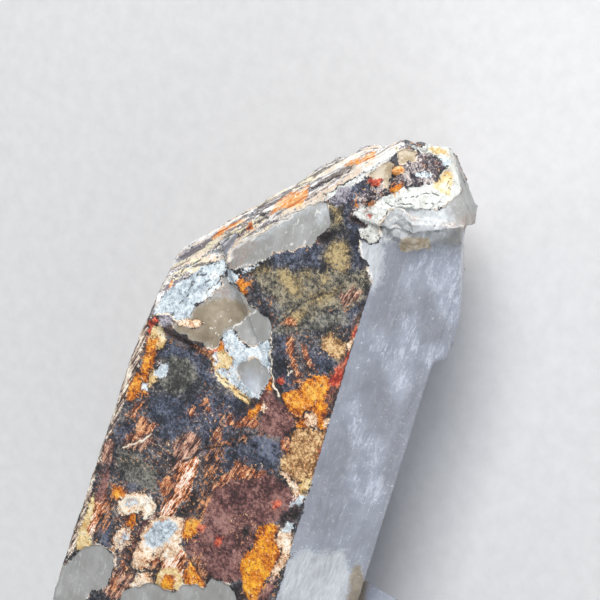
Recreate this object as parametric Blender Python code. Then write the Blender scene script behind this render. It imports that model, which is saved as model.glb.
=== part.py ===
"""A doubly terminated quartz crystal, grown free of any matrix, lying on a prism face.

The crystal's long axis runs along Y with its better tip at +Y. Its broad front face looks up,
along +Z, and the face opposite lies flat on the surface the specimen rests on. Every flat face is
given by its direction and by its distance from one datum: a point of the front face, 29 mm in
from its left edge and 33 mm short of the tip. Distances are written in millimetres and made
metres by the constant MM. The finished solid is moved so that the middle of its box's underside
is at the origin.
"""
import bmesh
import bpy
from math import cos, radians, sin
from mathutils import Matrix, Vector

MM = 0.001

# Overall build of the large crystal
THICKNESS = 46.0
BLANK = 400.0
TIP_SLOPE = 38.2
AXIS = Vector((0.0, 1.0, 0.0))

# Names of the six prism directions, counted clockwise from the front face
FRONT, RIGHT, LOWER_RIGHT, UNDER, LOWER_LEFT, LEFT = range(6)

# Colour of the finished mineral
QUARTZ_COLOUR = (0.62, 0.60, 0.62, 1.0)
QUARTZ_ROUGHNESS = 0.25


def prism_normal(side):
    """Direction of one of the six prism faces."""
    angle = radians(90.0 - 60.0 * side)
    return Vector((cos(angle), 0.0, sin(angle)))


def leaning(side, degrees):
    """Direction of a prism face that leans in towards the tip, or towards the foot if negative."""
    lean = radians(degrees)
    return prism_normal(side) * cos(lean) + AXIS * sin(lean)


def tip(side, distance):
    """A rhombohedral face of the tip."""
    return leaning(side, TIP_SLOPE), distance


def foot(side, distance):
    """A rhombohedral face of the lower end."""
    return leaning(side, -TIP_SLOPE), distance


def prism(side, distance):
    """A prism face parallel to the long axis."""
    return prism_normal(side), distance


def face_at(direction, point):
    """A face with the given outward direction through a point."""
    normal = Vector(direction).normalized()
    return normal, normal.dot(Vector(point))


def inner(face):
    """The same plane, keeping the material on its other side."""
    normal, distance = face
    return -normal, -distance


def raised(face, height):
    """The same face moved outwards."""
    normal, distance = face
    return normal, distance + height


def new_object(name, bm, collection):
    """Write a bmesh, still in millimetres, to an object in metres."""
    bmesh.ops.recalc_face_normals(bm, faces=bm.faces[:])
    bmesh.ops.scale(bm, vec=(MM, MM, MM), verts=bm.verts[:])
    mesh = bpy.data.meshes.new(name)
    bm.to_mesh(mesh)
    bm.free()
    obj = bpy.data.objects.new(name, mesh)
    collection.objects.link(obj)
    return obj


def facet_block(name, faces, collection, centre=(0.0, 0.0, 0.0)):
    """Cut a convex block with flat faces out of a large cube, as a crystal's faces bound it."""
    bm = bmesh.new()
    bmesh.ops.create_cube(bm, size=BLANK)
    for normal, distance in faces:
        whole = bm.verts[:] + bm.edges[:] + bm.faces[:]
        cut = bmesh.ops.bisect_plane(bm, geom=whole, plane_co=normal * distance,
                                     plane_no=normal, clear_outer=True)
        rim = [item for item in cut["geom_cut"] if isinstance(item, bmesh.types.BMEdge)]
        if rim:
            bmesh.ops.edgeloop_fill(bm, edges=rim)
    bmesh.ops.translate(bm, vec=centre, verts=bm.verts[:])
    return new_object(name, bm, collection)


def shell_scoop(name, centre, half_axes, collection, turn=(0.0, 0.0, 0.0), fineness=2):
    """An ellipsoid of flat facets: a lump where it is fused, a shell-like chip where it cuts."""
    bm = bmesh.new()
    bmesh.ops.create_icosphere(bm, subdivisions=fineness, radius=1.0)
    bmesh.ops.scale(bm, vec=half_axes, verts=bm.verts[:])
    for axis_name, degrees in zip("XYZ", turn):
        bmesh.ops.rotate(bm, cent=(0.0, 0.0, 0.0), verts=bm.verts[:],
                         matrix=Matrix.Rotation(radians(degrees), 3, axis_name))
    bmesh.ops.translate(bm, vec=centre, verts=bm.verts[:])
    return new_object(name, bm, collection)


def combine(body, other, operation):
    """Fuse another solid to the body, or cut it away, and keep the other as a hidden guide."""
    step = body.modifiers.new(other.name, "BOOLEAN")
    step.operation = operation
    step.solver = "EXACT"
    step.object = other
    other.hide_render = True
    other.display_type = "WIRE"


# Prism faces of the large crystal. Most lean in a little, which gives the natural taper.
FRONT_FACE = prism(FRONT, 0.0)
RIGHT_FACE = face_at(leaning(RIGHT, 2.0), (12.5, -15.0, 0.0))
LOWER_RIGHT_FACE = face_at(leaning(LOWER_RIGHT, 1.9), prism_normal(LOWER_RIGHT) * 25.55 - AXIS * 20)
UNDER_FACE = prism(UNDER, THICKNESS)
LOWER_LEFT_FACE = face_at(leaning(LOWER_LEFT, 0.9), (-45.0, -35.0, -27.7))
LEFT_FACE = face_at(leaning(LEFT, 0.9), prism_normal(LEFT) * 25.2 - AXIS * 35)

# The left face leans in more above the ledge
LEFT_SHOULDER = face_at(leaning(LEFT, 7.0), prism_normal(LEFT) * 24.5 - AXIS * 17)

# Faces of the better tip, and the low face that cuts across its summit
LEFT_TIP = tip(LEFT, 13.6)
RIGHT_TIP = tip(RIGHT, 24.0)
LOWER_RIGHT_TIP = tip(LOWER_RIGHT, 31.95)
UNDER_TIP = tip(UNDER, 34.0)
LOWER_LEFT_TIP = tip(LOWER_LEFT, 27.0)
SUMMIT = face_at((-0.42, 0.895, -0.15), (7.7, 31.9, -2.5))

LARGE_FACES = [FRONT_FACE, RIGHT_FACE, LOWER_RIGHT_FACE, UNDER_FACE, LOWER_LEFT_FACE, LEFT_FACE,
               LEFT_SHOULDER, LEFT_TIP, RIGHT_TIP, LOWER_RIGHT_TIP, UNDER_TIP, LOWER_LEFT_TIP, SUMMIT,
               foot(FRONT, 49.4), foot(RIGHT, 47.4), foot(LOWER_RIGHT, 64.1), foot(UNDER, 88.0),
               foot(LOWER_LEFT, 78.0), foot(LEFT, 66.5)]

# A later layer of growth stops this far short of the neighbouring faces, and roots this deep
SETBACK = 0.25
ROOT_DEPTH = 4.0

# The steep face that narrows the neck under the cap, and the cap's underside there
NECK_FACE = face_at(leaning(LOWER_RIGHT, 17.2), prism_normal(LOWER_RIGHT) * 26.7 + AXIS * 5.2)
CAP_UNDERSIDE = face_at((0.0, 0.99, -0.143), (18.9, 21.5, -14.7))


def large_crystal(collection):
    """The main crystal with both of its ends."""
    return facet_block("quartz_crystal", LARGE_FACES, collection)


def growth_layer(name, grown_face, height, outline, collection):
    """A later layer of growth on one face, ended by the planes of its outline."""
    faces = [raised(face, -SETBACK) for face in LARGE_FACES if face is not grown_face]
    faces += [raised(grown_face, height), inner(raised(grown_face, -ROOT_DEPTH))]
    return facet_block(name, faces + outline, collection)


def tip_step(collection):
    """A shallow step in the left tip face, where one of its layers stopped growing."""
    floor = face_at((-0.722, 0.572, 0.393), (-18.2, 11.6, -14.6))
    faces = [inner(floor), face_at((-0.672, -0.74, 0.0), (-24.7, 4.5, -14.6)),
             face_at((0.0, 0.0, 1.0), (0.0, 0.0, -7.5)), prism(UNDER, 26.0)]
    return facet_block("tip_step", faces, collection)


def cap_slab(collection):
    """The overgrowth at the tip: a slab of new quartz that overhangs the right faces below it."""
    faces = [prism(FRONT, 0.9), tip(RIGHT, 24.35), prism(RIGHT, 14.1), prism(LOWER_RIGHT, 24.7),
             tip(LOWER_RIGHT, 32.25), face_at((-0.826, 0.563, 0.0), (9.7, 24.7, 0.9)),
             face_at((0.15, -0.966, -0.21), (7.0, 17.9, 0.9)), raised(SUMMIT, -SETBACK),
             inner(prism(RIGHT, 3.0)), prism(UNDER, 27.0)]
    return facet_block("cap_slab", faces, collection)


def neck_recess(collection):
    """Room cut out beside the neck, so that the cap overhangs the lower right face."""
    faces = [inner(NECK_FACE), CAP_UNDERSIDE, face_at((0.0, -1.0, 0.0), (0.0, 6.0, 0.0)),
             prism(RIGHT, 40.0), prism(UNDER, 60.0)]
    return facet_block("neck_recess", faces, collection)


def growth_layers(collection):
    """Layers of later growth. The first makes the small step in the right outline."""
    edge_end = face_at((0.35, -0.88, -0.32), (22.2, -3.4, -15.2))
    layers = [
        ("layer_edge", LOWER_RIGHT_FACE, 2.25, [NECK_FACE, raised(CAP_UNDERSIDE, SETBACK), edge_end]),
        ("layer_lower_left", LOWER_LEFT_FACE, 0.9,
         [face_at((-0.1, 0.97, 0.2), (-40.0, -6.0, -30.0)),
          face_at((0.2, -0.95, 0.1), (-40.0, -58.0, -30.0)),
          face_at((0.0, 0.25, 0.97), (-44.0, -30.0, -30.5))]),
        ("ridge_tip_front", LEFT_TIP, 0.4,
         [face_at((0.0, 0.0, 1.0), (0.0, 0.0, -4.6)), face_at((-0.1, 0.0, -1.0), (0.0, 0.0, -8.4)),
          face_at((-0.7, -0.7, 0.3), (-22.0, -4.0, -6.0)), face_at((0.7, 0.6, 0.2), (1.0, 27.0, -6.0))]),
        ("ridge_tip_middle", LEFT_TIP, 0.35,
         [face_at((-0.1, 0.1, 1.0), (-18.0, 6.0, -10.6)), face_at((0.0, 0.0, -1.0), (0.0, 0.0, -14.2)),
          face_at((-0.7, -0.7, -0.2), (-30.0, -6.0, -12.0)), face_at((0.8, 0.5, 0.0), (-21.5, 5.5, -12.0))]),
        ("ridge_tip_summit", LEFT_TIP, 0.55,
         [face_at((0.0, 0.0, 1.0), (0.0, 0.0, -7.6)), face_at((0.0, 0.1, -1.0), (0.0, 0.0, -17.5)),
          face_at((-0.7, -0.6, -0.2), (-15.0, 15.0, -14.0)), face_at((0.7, 0.6, 0.0), (0.5, 28.5, -9.0))]),
        ("layer_left", LEFT_FACE, 0.6,
         [face_at((0.0, 0.9, -0.43), (-36.0, -76.0, -14.0)),
          face_at((0.1, -0.1, 0.98), (-36.0, -84.0, -7.5))]),
        ("layer_tip_back", LOWER_LEFT_TIP, 0.8,
         [face_at((0.7, 0.1, 0.7), (-18.0, 8.0, -27.0)),
          face_at((-0.6, -0.3, -0.75), (-22.0, 2.0, -37.0)),
          face_at((-0.6, -0.75, 0.2), (-31.0, -5.0, -27.0)),
          face_at((0.4, 0.9, 0.0), (-12.0, 14.0, -30.0))]),
    ]
    return [growth_layer(name, face, height, outline, collection)
            for name, face, height, outline in layers]


# The facet at the upper left slopes back from a ledge that runs straight across the front face
LEDGE_Y = -16.2
LEDGE_HEIGHT = 1.3
LEDGE_SLOPE = 22.0
LEDGE_RIGHT = -12.9
SLOPED_FACET = face_at(leaning(FRONT, LEDGE_SLOPE), (0.0, LEDGE_Y, LEDGE_HEIGHT))


def reentrant(collection):
    """The notch above the ledge: the sloped facet is its floor, a growth wall its right side."""
    wall = face_at((-0.564, -0.594, 0.574), (-16.1, -0.1, 0.0))
    faces = [inner(SLOPED_FACET), inner(wall), prism(FRONT, 20.0)]
    return facet_block("reentrant", faces, collection)


def shoulder_cut(collection):
    """The facet between the front face and the left tip face, above the notch."""
    shoulder = face_at((-0.70, 0.42, 0.574), (-12.5, 5.8, 0.0))
    faces = [inner(shoulder), face_at((0.0, -1.0, 0.0), (0.0, -1.5, 0.0)),
             face_at((-1.0, 0.0, 0.0), (-19.0, 0.0, 0.0)), prism(FRONT, 20.0)]
    return facet_block("shoulder_cut", faces, collection)


def ledge_wedge(collection):
    """The lip of the sloped facet, which stands proud of the front face and is undercut."""
    faces = [SLOPED_FACET, face_at((0.0, -0.94, -0.34), (0.0, LEDGE_Y, LEDGE_HEIGHT)),
             raised(LEFT_FACE, -0.15), raised(LEFT_SHOULDER, -0.15),
             face_at((1.0, 0.25, 0.0), (LEDGE_RIGHT, LEDGE_Y, 0.0)),
             prism(UNDER, 3.0), face_at((0.0, 1.0, 0.0), (0.0, -11.0, 0.0))]
    return facet_block("ledge_wedge", faces, collection)


# The smaller crystal grew parallel to the large one, out of its lower right face
SIDE_CENTRE = (20.6, -67.0, -24.0)
SIDE_RADII = (9.2, 10.4, 8.8, 10.0, 10.6, 10.2)


def side_crystal(collection):
    """The smaller parallel crystal with a chisel tip and its own lower end."""
    faces = [prism(side, radius) for side, radius in enumerate(SIDE_RADII)]
    faces += [tip(FRONT, 10.8), tip(RIGHT, 15.4), tip(LOWER_RIGHT, 14.8), tip(UNDER, 10.5),
              foot(FRONT, 17.2), foot(RIGHT, 15.8), foot(LOWER_RIGHT, 16.6), foot(UNDER, 18.5),
              foot(LEFT, 20.0)]
    return facet_block("side_crystal", faces, collection, centre=SIDE_CENTRE)


def cap_chips(collection):
    """Shell-like breaks along the lower edge of the cap, and chips on the other edges."""
    return [
        shell_scoop("chip_under_cap", (14.9, 19.3, 2.2), (2.7, 2.6, 2.6), collection, (0, 30, 12)),
        shell_scoop("chip_shell_break", (16.4, 22.8, -0.5), (5.0, 1.7, 1.7), collection, (0, 60, 0)),
        shell_scoop("chip_cap_edge", (19.8, 20.0, -2.4), (2.4, 1.5, 2.0), collection, (0, 30, 0)),
        shell_scoop("chip_front_edge", (13.6, -31.0, 0.9), (1.3, 3.0, 1.3), collection, (8, 0, 4)),
        shell_scoop("chip_left_edge", (-29.6, -36.0, 0.6), (1.1, 3.4, 1.1), collection, (0, 0, -6)),
        shell_scoop("chip_rest_edge", (-34.5, -50.0, -46.4), (2.0, 5.0, 1.6), collection, (0, 0, 9)),
        shell_scoop("chip_foot", (-9.0, -101.5, -22.0), (4.5, 3.0, 4.0), collection, (20, 0, 25)),
    ]


def cap_lumps(collection):
    """Small lumps of late quartz and clay under the cap and on its summit."""
    return [
        shell_scoop("mass_under_cap", (14.2, 18.7, -3.6), (4.6, 2.2, 1.9), collection, (0, 60, 0)),
        shell_scoop("lump_under_cap", (14.4, 16.7, -4.9), (3.1, 1.2, 1.1), collection, (0, 60, 0)),
        shell_scoop("flake_under_cap", (16.2, 19.4, -6.9), (1.9, 0.8, 1.0), collection, (0, 60, 14)),
        shell_scoop("lump_summit", (8.0, 31.5, -3.6), (1.5, 0.9, 1.3), collection, (0, 20, 10)),
        shell_scoop("lump_summit_small", (9.6, 32.0, -5.6), (1.0, 0.6, 0.9), collection),
        shell_scoop("lump_tip_ridge", (-3.5, 24.3, -12.7), (3.4, 1.8, 2.2), collection, (0, 0, 47)),
        shell_scoop("lump_neck", (15.2, -59.5, -16.5), (2.6, 3.0, 2.2), collection, (0, 30, 0)),
    ]


def quartz_material():
    """Pale, slightly smoky quartz."""
    material = bpy.data.materials.new("quartz")
    material.use_nodes = True
    shader = material.node_tree.nodes["Principled BSDF"]
    shader.inputs["Base Color"].default_value = QUARTZ_COLOUR
    shader.inputs["Roughness"].default_value = QUARTZ_ROUGHNESS
    shader.inputs["Metallic"].default_value = 0.0
    return material


def settle_on_box(body, guides):
    """Move the body and its guides so that the box's bottom middle is at the origin."""
    graph = bpy.context.evaluated_depsgraph_get()
    points = [vertex.co for vertex in body.evaluated_get(graph).data.vertices]
    low = Vector([min(point[i] for point in points) for i in range(3)])
    high = Vector([max(point[i] for point in points) for i in range(3)])
    middle = (low + high) / 2
    shift = Matrix.Translation(Vector((-middle.x, -middle.y, -low.z)))
    for obj in [body] + guides:
        obj.data.transform(shift)


def main():
    for obj in list(bpy.data.objects):
        bpy.data.objects.remove(obj, do_unlink=True)
    specimen = bpy.data.collections.new("quartz_floater")
    guides = bpy.data.collections.new("quartz_floater_guides")
    bpy.context.scene.collection.children.link(specimen)
    bpy.context.scene.collection.children.link(guides)

    body = large_crystal(specimen)
    cuts = [neck_recess(guides), tip_step(guides), reentrant(guides), shoulder_cut(guides)]
    growths = growth_layers(guides)
    growths += [ledge_wedge(guides), cap_slab(guides), side_crystal(guides)]
    chips = cap_chips(guides)
    lumps = cap_lumps(guides)
    for cutter in cuts:
        combine(body, cutter, "DIFFERENCE")
    for growth in growths:
        combine(body, growth, "UNION")
    for chip in chips:
        combine(body, chip, "DIFFERENCE")
    for lump in lumps:
        combine(body, lump, "UNION")
    body.data.materials.append(quartz_material())
    settle_on_box(body, cuts + growths + chips + lumps)


main()
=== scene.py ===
# %% [markdown]
# # A quartz floater with an iron oxide skin
# The object is one natural thing: a thick quartz crystal, closed at both ends, with a ledge and an
# overgrown cap at its better tip and a smaller crystal grown along its side. The front face carries
# a thin skin of iron and manganese oxide and pale clay. The solid from the frame already has every
# flat face, ledge and lump, so this lesson gives it what a solid model leaves out: softened edges,
# the low relief of the skin, its coloured patches, and the milky depth of the bare quartz.

# %% Load the frame
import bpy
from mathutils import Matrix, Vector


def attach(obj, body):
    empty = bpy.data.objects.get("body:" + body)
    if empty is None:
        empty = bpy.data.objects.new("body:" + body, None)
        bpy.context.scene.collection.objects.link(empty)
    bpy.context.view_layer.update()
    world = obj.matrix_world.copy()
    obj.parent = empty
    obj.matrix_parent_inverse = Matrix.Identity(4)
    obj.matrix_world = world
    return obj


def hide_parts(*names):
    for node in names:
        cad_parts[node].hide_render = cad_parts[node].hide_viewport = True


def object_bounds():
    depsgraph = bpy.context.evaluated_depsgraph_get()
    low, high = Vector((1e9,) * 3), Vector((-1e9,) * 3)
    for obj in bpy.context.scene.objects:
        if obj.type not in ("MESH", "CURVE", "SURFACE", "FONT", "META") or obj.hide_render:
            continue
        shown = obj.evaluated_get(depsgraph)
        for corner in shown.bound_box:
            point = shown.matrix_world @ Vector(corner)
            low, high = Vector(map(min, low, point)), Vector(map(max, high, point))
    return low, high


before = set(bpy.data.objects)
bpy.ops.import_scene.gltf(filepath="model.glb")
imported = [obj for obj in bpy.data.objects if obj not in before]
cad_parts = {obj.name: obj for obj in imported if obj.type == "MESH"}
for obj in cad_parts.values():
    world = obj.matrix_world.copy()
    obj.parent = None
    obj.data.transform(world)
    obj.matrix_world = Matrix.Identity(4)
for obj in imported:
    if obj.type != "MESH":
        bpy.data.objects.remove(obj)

cad_low, cad_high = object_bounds()
print("box of the solid in mm:", [round((b - a) * 1000, 1) for a, b in zip(cad_low, cad_high)])

# %% Modules and units
from math import cos, radians, sin

import bmesh
import bpy
import numpy as np
from mathutils import Matrix, Vector, noise

MM = 0.001
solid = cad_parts["quartz_crystal"]

# The point of the front face that distances are counted from, as in the solid, and the floor under it
DATUM = Vector((7.07, 34.4, 46.0))
FLOOR_LEVEL = -DATUM.z

# %% [markdown]
# ## The camera
# The specimen lies on the prism face opposite the one with the skin, and the camera looks down on
# it from the side of its better tip. Two angles fix the view: how far the line of sight leans
# towards the tip, and how far the long axis is turned in the picture. The lens is long and the
# distance short of half a metre, as in a close view of a hand specimen.

# %% Camera
LEAN_TO_TIP = radians(17.0)
AXIS_TURN = radians(18.5)
DISTANCE = 420.0
MM_PER_PIXEL = 0.17
PICTURE = 600

# Seen along the axis, the camera stands halfway between the normals of the front and the right face
across = 0.5
up = 3 ** 0.5 / 2
towards = Vector((across * cos(LEAN_TO_TIP), sin(LEAN_TO_TIP), up * cos(LEAN_TO_TIP)))
picture_right = Vector((up * cos(AXIS_TURN) - across * sin(AXIS_TURN) * sin(LEAN_TO_TIP),
                        sin(AXIS_TURN) * cos(LEAN_TO_TIP),
                        -across * cos(AXIS_TURN) - up * sin(AXIS_TURN) * sin(LEAN_TO_TIP)))
picture_up = towards.cross(picture_right)

camera = bpy.data.objects.new("camera", bpy.data.cameras.new("camera"))
bpy.context.scene.collection.objects.link(camera)
camera.data.sensor_width = 36.0
camera.data.lens = DISTANCE / MM_PER_PIXEL / PICTURE * camera.data.sensor_width
turn = Matrix((picture_right, picture_up, towards)).transposed().to_4x4()
turn.translation = (DATUM + towards * DISTANCE) * MM
camera.matrix_world = turn
camera.data.clip_start = 0.01
bpy.context.scene.camera = camera
print("lens in mm:", round(camera.data.lens, 1))

# %% [markdown]
# ## A fine skin of small triangles
# Real crystal faces are flat, but their skin is not: it has steps, cracks and grains well under a
# millimetre high. A displacement needs vertices to move, so a copy of the solid is merged, cut into
# small triangles, and made finest where the camera sees the skin. Long edges are split in the middle
# again and again, and the triangles are turned to their better diagonal after each round. The faces
# stay exactly flat while this happens, so the shape of the solid is kept.

# %% Target size of the triangles
# Lengths of edges in millimetres, and the thickness of the slices that the solid is first cut into
FINEST = 0.36
MEDIUM = 0.8
COARSE = 1.9
SLICE = 5.0
# Where along the axis the part in the picture starts, a margin around it, and the tip's own faces
PICTURED_FROM = -64.0
MARGIN_FROM = -70.0
TIP_FROM = 4.0


def in_picture(points):
    """Where points, in millimetres from the datum, fall in the picture, in pixels."""
    rays = points - np.array(towards) * DISTANCE
    depth = -rays @ np.array(towards)
    scale = DISTANCE / MM_PER_PIXEL / depth
    return np.stack([PICTURE / 2 + scale * (rays @ np.array(picture_right)),
                     PICTURE / 2 - scale * (rays @ np.array(picture_up))], axis=1)


def wanted_length(middle, normal):
    """How long an edge may be at a place, in millimetres from the datum."""
    if normal.z > 0.75 and middle.y > PICTURED_FROM:
        return FINEST
    if normal.dot(towards) > 0.05 and middle.y > TIP_FROM:
        return FINEST
    if normal.dot(towards) > -0.12 and middle.y > MARGIN_FROM:
        return MEDIUM
    return COARSE


# %% Split and turn the triangles
ROUNDS = 9
TOO_LONG = 1.35


def split_finely(bm):
    """Split every edge that is longer than wanted, in rounds."""
    for _ in range(ROUNDS):
        long_edges = []
        for edge in bm.edges:
            a, b = edge.verts
            middle = (a.co + b.co) / 2
            limit = min(wanted_length(middle, face.normal) for face in edge.link_faces)
            if (a.co - b.co).length > limit * TOO_LONG:
                long_edges.append(edge)
        if not long_edges:
            break
        bmesh.ops.subdivide_edges(bm, edges=long_edges, cuts=1, use_grid_fill=False)
        bmesh.ops.triangulate(bm, faces=bm.faces[:], quad_method="BEAUTY", ngon_method="BEAUTY")
        flat = [edge for edge in bm.edges
                if len(edge.link_faces) == 2 and edge.calc_face_angle(1.0) < radians(0.2)]
        bmesh.ops.beautify_fill(bm, faces=bm.faces[:], edges=flat, method="AREA")
        print("triangles so far:", len(bm.faces))


bm = bmesh.new()
bm.from_mesh(solid.data)
bmesh.ops.scale(bm, vec=(1 / MM,) * 3, verts=bm.verts[:])
bmesh.ops.translate(bm, vec=-DATUM, verts=bm.verts[:])
bmesh.ops.remove_doubles(bm, verts=bm.verts[:], dist=0.002)
bmesh.ops.dissolve_limit(bm, angle_limit=radians(0.3), verts=bm.verts[:], edges=bm.edges[:])
for axis in range(3):
    low = min(vertex.co[axis] for vertex in bm.verts)
    high = max(vertex.co[axis] for vertex in bm.verts)
    direction = Vector([float(i == axis) for i in range(3)])
    for step in np.arange(low + SLICE, high, SLICE):
        bmesh.ops.bisect_plane(bm, geom=bm.verts[:] + bm.edges[:] + bm.faces[:],
                               plane_co=direction * step, plane_no=direction)
bmesh.ops.triangulate(bm, faces=bm.faces[:])
bm.normal_update()
split_finely(bm)

# %% Soften the edges a little
SHARP = radians(8.0)
SOFTENINGS = 2
bm.normal_update()
creases = {vertex for edge in bm.edges if edge.calc_face_angle(0.0) > SHARP
           for vertex in edge.verts}
for _ in range(SOFTENINGS):
    bmesh.ops.smooth_vert(bm, verts=list(creases), factor=0.35,
                          use_axis_x=True, use_axis_y=True, use_axis_z=True)
bm.normal_update()
crystal_mesh = bpy.data.meshes.new("coated_quartz")
bm.to_mesh(crystal_mesh)
bm.free()
print("triangles in the skin:", len(crystal_mesh.polygons))

# %% [markdown]
# ## Where each colour lies
# The patches of the skin have shapes that no noise would give, so each kind of patch is drawn as a few
# outlines in the picture's pixels, with only the points that its shape needs. They could be painted on
# the vertices, but then an edge would be no finer than the triangles. Instead every vertex stores how
# far it is inside the nearest outline of its kind, in millimetres, and less than zero outside. The
# material later turns that smooth distance into a ragged edge with noise, and it stays crisp.

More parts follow.
